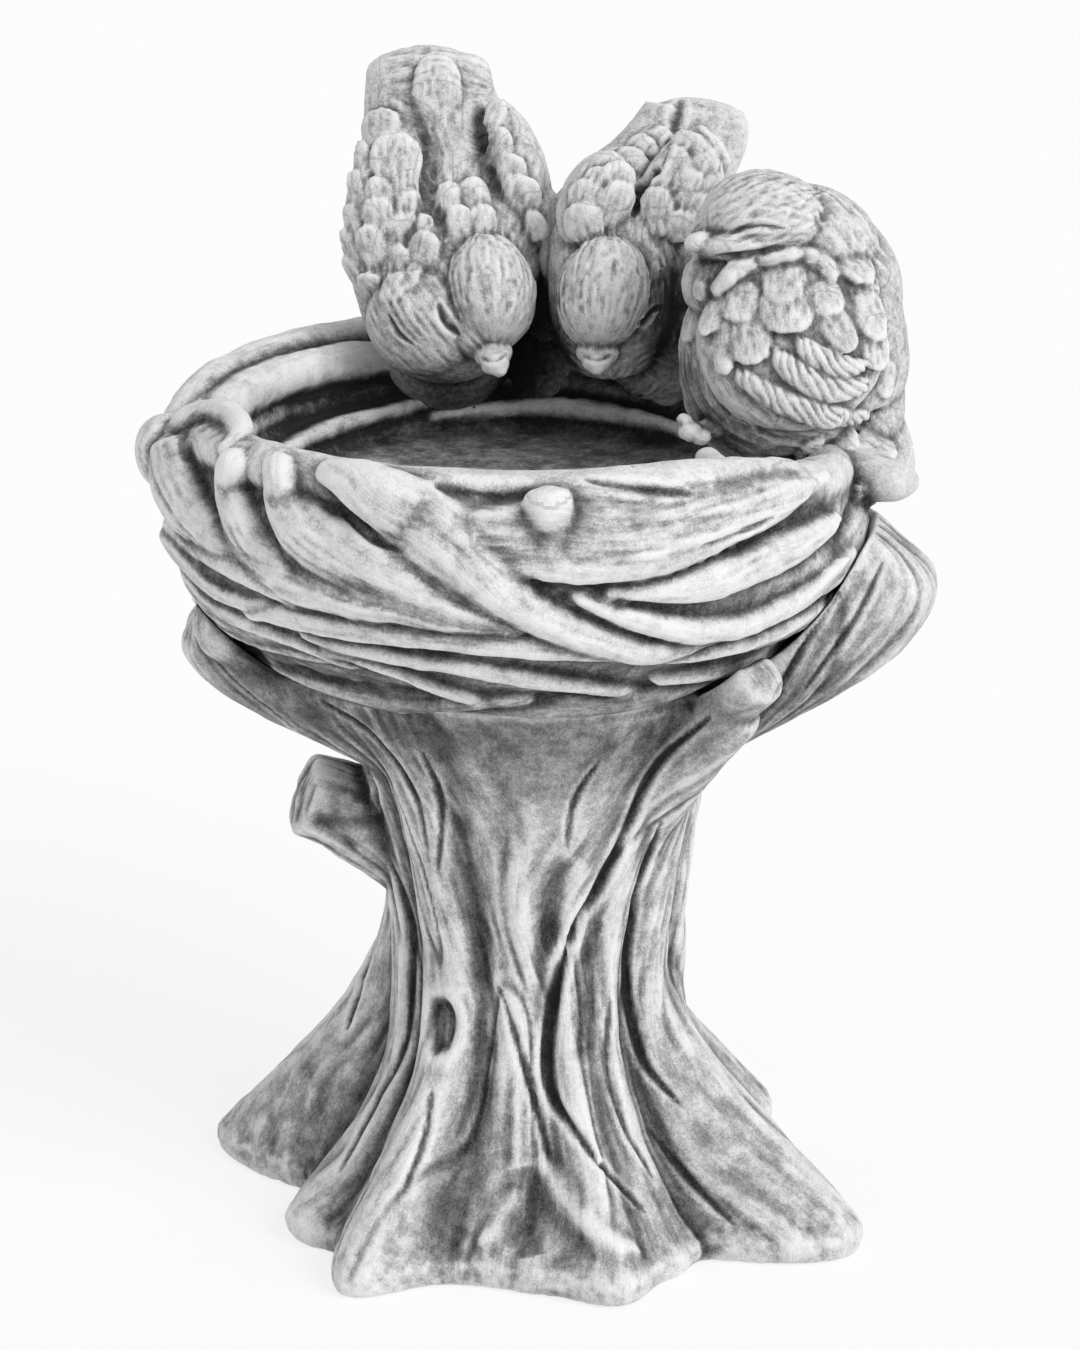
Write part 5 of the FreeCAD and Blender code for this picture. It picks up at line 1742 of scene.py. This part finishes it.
def middle_bird() -> Bird:
    """The middle bird, which leans in to drink with its tail up to the right."""
    return Bird(
        "bird_middle",
        2,
        (54.0, 99.2, 318.0),
        head=(603, 293, 56),
        beak=(598, 360, 44),
        body=(
            (700, 98, 44, 120, 7), (697, 118, 56, 118, 10), (684, 148, 60, 112, 13), (660, 180, 64, 104, 18),
            (636, 212, 74, 96, 24), (620, 250, 75, 88, 28), (612, 292, 66, 80, 28), (610, 335, 56, 76, 26),
            (610, 376, 36, 76, 16),
        ),
        masses=(
            (603, 293, 56, 17.6, 22, 19, 14),
            (597, 353, 49, 8.2, 5.0, 7, 4),
            (597, 362, 45, 5.4, 3.8, 5, 0),
            (597, 368, 43, 3.0, 2.6, 3, 0),
            (594, 200, 74, 13, 20, 11, 25),
            (680, 190, 80, 15, 26, 12, 30),
            (572, 230, 92, 12, 22, 12, 20),
            (672, 260, 84, 14, 26, 16, 15),
            (668, 335, 92, 16, 28, 16, 0),
            (662, 330, 93, 25, 28, 27, 0),
        ),
        lobes=(
            (585, 193, 30, 25, 10), (617, 199, 36, 34, 10), (583, 218, 36, 30, 0), (619, 175, 34, 24, 25),
            (633, 159, 34, 19, 35), (645, 145, 30, 17, 40), (663, 135, 22, 15, 45), (598, 178, 24, 22, 25),
            (657, 206, 30, 36, 10), (667, 177, 24, 25, 20), (676, 159, 28, 23, 30), (690, 184, 27, 26, 30),
            (696, 206, 26, 26, 20), (680, 222, 27, 24, 10), (688, 140, 27, 15, 40), (704, 164, 25, 22, 40),
            (712, 186, 22, 24, 30),
        ),
        feathers=(
            (2.0, 0.6, 0.0, ((680, 133, 4), (698, 142, 7), (712, 160, 8), (720, 182, 6))),
            (2.0, 0.4, 0.0, ((700, 128, 4), (716, 146, 7), (727, 166, 6))),
        ),
        combs=((12, ((640, 372), (612, 384), (584, 374))), (10, ((668, 240), (676, 280), (672, 320)))),
        painted_shades=(
            (556, 345, 13, 0.7), (566, 385, 14, 0.5), (668, 335, 16, 0.6), (676, 285, 14, 0.5),
            (612, 396, 15, 0.4), (640, 205, 5, 0.15), (556, 300, 8, 0.45),
        ),
        cuts=(
            (2.0, 2.6, ((672, 134), (658, 168), (641, 190), (633, 218))),
            (2.4, 2.0, ((681, 99), (677, 115), (674, 132))),
            (1.3, 2.0, ((634, 328), (646, 318), (658, 306))),
            (1.0, 1.2, ((582, 356), (597, 360), (612, 355))),
        ),
    )


def right_bird() -> Bird:
    """The right bird, a plump one seen from its side."""
    return Bird(
        "bird_right",
        3,
        (106.4, 24.3, 304.0),
        tail=999.0,
        grow=-1.0,
        head=(766, 216, 14),
        beak=(696, 244, 8),
        body=(
            (790, 240, 60, 26, 24), (800, 290, 96, 25, 32), (795, 345, 114, 24, 36), (790, 400, 104, 24, 34),
            (800, 448, 60, 24, 24),
        ),
        masses=(
            (766, 218, 14, 24, 17.5, 20, 6),
            (740, 246, 8, 17, 6.5, 14, -4),
            (700, 242, 4, 6, 3.8, 4.5, -12),
            (735, 284, 18, 20, 16, 22, 0),
            (818, 236, 22, 24, 18, 22, 28),
            (826, 285, 28, 28, 32, 27, -25),
            (791, 342, -1, 35, 33, 14, 0),
            (870, 392, 24, 13, 26, 18, -6),
            (884, 440, 22, 10, 20, 14, -20),
            (815, 462, 8, 20, 6, 8, 0),
            (855, 456, 8, 14, 8, 9, 10),
            (714, 428, 4, 11, 3.6, 5, 0),
            (690, 432, -2, 4.6, 3.4, 4, 0),
            (684, 420, 0, 3.0, 2.2, 3, 20),
            (702, 437, -3, 3.4, 3.0, 3.4, 0),
        ),
        lobes=(
            (784, 287, 36, 36, 180), (787, 315, 46, 36, 180), (740, 307, 31, 31, 185),
            (711, 319, 21, 35, 195), (691, 329, 18, 26, 190), (701, 293, 18, 14, 200),
            (725, 354, 21, 38, 185), (750, 344, 36, 38, 175), (827, 303, 30, 26, 165),
            (840, 333, 26, 38, 150), (856, 266, 36, 40, 165), (867, 287, 27, 24, 170),
            (872, 321, 30, 38, 175), (876, 354, 28, 30, 180), (886, 384, 22, 26, 180),
            (842, 452, 48, 30, 110), (880, 450, 34, 30, 130), (808, 452, 24, 26, 170),
        ),
        feathers=(
            (3.0, 0.8, 0.0, ((713, 294, 7), (737, 270, 10), (770, 257, 11), (800, 254, 11), (823, 262, 10),
                             (834, 282, 7))),
            (2.4, 0.4, 5.2, ((738, 372, 6), (752, 384, 10), (774, 398, 12), (803, 410, 13), (833, 417, 13),
                             (867, 414, 8))),
            (2.6, 0.9, 5.2, ((776, 352, 7), (786, 365, 11), (803, 377, 13), (823, 387, 13), (844, 389, 12),
                             (867, 382, 7))),
            (2.6, 1.4, 5.2, ((797, 341, 7), (806, 349, 10), (821, 358, 11), (840, 366, 11), (864, 366, 6))),
        ),
        combs=(
            (13, ((692, 345), (696, 388), (722, 424), (764, 446), (800, 452))),
            (10, ((712, 372), (736, 408), (776, 434), (820, 442))),
            (12, ((812, 192), (842, 222), (868, 256))),
            (10, ((730, 212), (762, 196), (800, 204))),
        ),
        painted_shades=(
            (706, 270, 10, 0.3), (684, 372, 9, 0.3), (700, 418, 12, 0.3), (735, 448, 12, 0.4),
            (790, 462, 10, 0.35), (848, 290, 5, 0.2), (856, 345, 5, 0.2),
        ),
        cuts=(
            (1.1, 2.0, ((728, 233), (755, 226), (786, 229))),
            (1.6, 1.5, ((716, 256), (748, 254), (786, 247))),
        ),
    )


@dataclass
class Studio:
    """White floor and surroundings, one soft sun, one weak lamp and the camera. Lengths are in metres."""

    sun: float = 1.75
    sun_from: Triple = (0.78, -0.74, 1.0)
    sun_width: float = 38.0
    fill_watts: float = 1.0
    fill_from: Triple = (-1.1, -1.2, 0.7)
    fill_size: float = 1.2
    middle: Triple = (0.0, 0.0, 0.22)
    sky: float = 0.57
    shadow_lift: float = 0.78
    floor_half: float = 9.0
    floor_drop: float = 0.0006
    sensor: float = 36.0

    def aim(self, made: bpy.types.Object, place: Sequence[float], target: Sequence[float]) -> None:
        """Sets a lamp or camera up, turned to its target."""
        made.location = place
        made.rotation_euler = (Vector(target) - Vector(place)).to_track_quat("-Z", "Y").to_euler()

    def seen(self, graph: Graph) -> bpy.types.NodeSocket:
        """1 for rays of the camera, also by way of gloss or glass, and 0 for those that light the object.

        Args:
            graph: The nodes it joins.

        Returns:
            The socket.
        """
        path = graph.add("LightPath").outputs
        seen = graph.calc("MAXIMUM", path["Is Camera Ray"], path["Is Glossy Ray"])
        return graph.calc("MAXIMUM", seen, path["Is Transmission Ray"])

    def floor(self) -> None:
        """A plain white floor that catches the shadow."""
        mesh = bpy.data.meshes.new("floor")
        half, low = self.floor_half, -self.floor_drop
        corners = [(x * half, y * half, low) for x, y in ((-1, -1), (1, -1), (1, 1), (-1, 1))]
        mesh.from_pydata(corners, [], [(0, 1, 2, 3)])
        put("floor", mesh)
        paint = bpy.data.materials.new("white floor")
        graph = Graph(paint)
        white = linear("ffffff")
        matt = graph.add("BsdfPrincipled", {"Base Color": white, "Roughness": 0.9, "Specular IOR Level": 0.0})
        glow = graph.add("Emission", {"Color": white, "Strength": 1.0})
        share = graph.calc("MULTIPLY", self.seen(graph), self.shadow_lift)
        mix = graph.add("MixShader", {0: share, 1: matt.outputs["BSDF"], 2: glow.outputs["Emission"]})
        graph.add("OutputMaterial", {"Surface": mix.outputs[0]})
        mesh.materials.append(paint)

    def room(self) -> None:
        """Surroundings that are white to the eye and give a dimmer light."""
        world = bpy.data.worlds.new("white room")
        graph = Graph(world)
        dim, white = (
            graph.add("Background", {"Color": linear("ffffff"), "Strength": strength}).outputs[0]
            for strength in (self.sky, 1.0)
        )
        mix = graph.add("MixShader", {0: self.seen(graph), 1: dim, 2: white})
        graph.add("OutputWorld", {"Surface": mix.outputs[0]})
        bpy.context.scene.world = world

    def build(self) -> None:
        """Floor, surroundings, lamps and camera."""
        self.floor()
        self.room()
        sun = bpy.data.lights.new("sun", "SUN")
        sun.energy = self.sun
        sun.angle = math.radians(self.sun_width)
        self.aim(put("sun", sun), self.sun_from, self.middle)
        fill = bpy.data.lights.new("fill", "AREA")
        fill.size = self.fill_size
        fill.energy = self.fill_watts
        self.aim(put("fill", fill), self.fill_from, self.middle)
        data = bpy.data.cameras.new("camera")
        data.lens = SIGHT.lens
        data.sensor_width = self.sensor
        camera = put("camera", data)
        self.aim(camera, Vector(SIGHT.eye) * MM, Vector(SIGHT.target) * MM)
        bpy.context.scene.camera = camera
        bpy.context.scene.view_settings.view_transform = "Standard"


def main() -> None:
    """Builds the pieces in order."""
    logging.basicConfig(level=logging.INFO, format="%(message)s")
    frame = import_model()
    # One cast stone in three copies, each made paler by its own lift: the birds are the palest
    lifts = {"trunk_stone": 0.02, "nest_stone": 0.03, "bird_stone": 0.11}
    stones = {key: AntiquedStone(key.replace("_", " "), lift=lift).build() for key, lift in lifts.items()}
    # Mortar dries to a pale, chalky face, and zinc gives steel a grey, dulled gleam
    mortar = PlainFinish("bedding mortar", "b4b0a8", 0.95).build()
    steel = PlainFinish("galvanised steel", "9b9ea0", 0.4, 1.0).build()
    for name, node in frame["nodes"].items():
        bed = name.startswith("mortar")
        node.data.materials.clear()
        node.data.materials.append(mortar if bed else steel)
    seat = Seat()
    Stump(seat).build(stones["trunk_stone"])
    Nest(seat).build(stones["nest_stone"])
    for bird in (left_bird(), middle_bird(), right_bird()):
        bird.build(stones["bird_stone"])
    Studio().build()


if __name__ == "__main__":
    main()
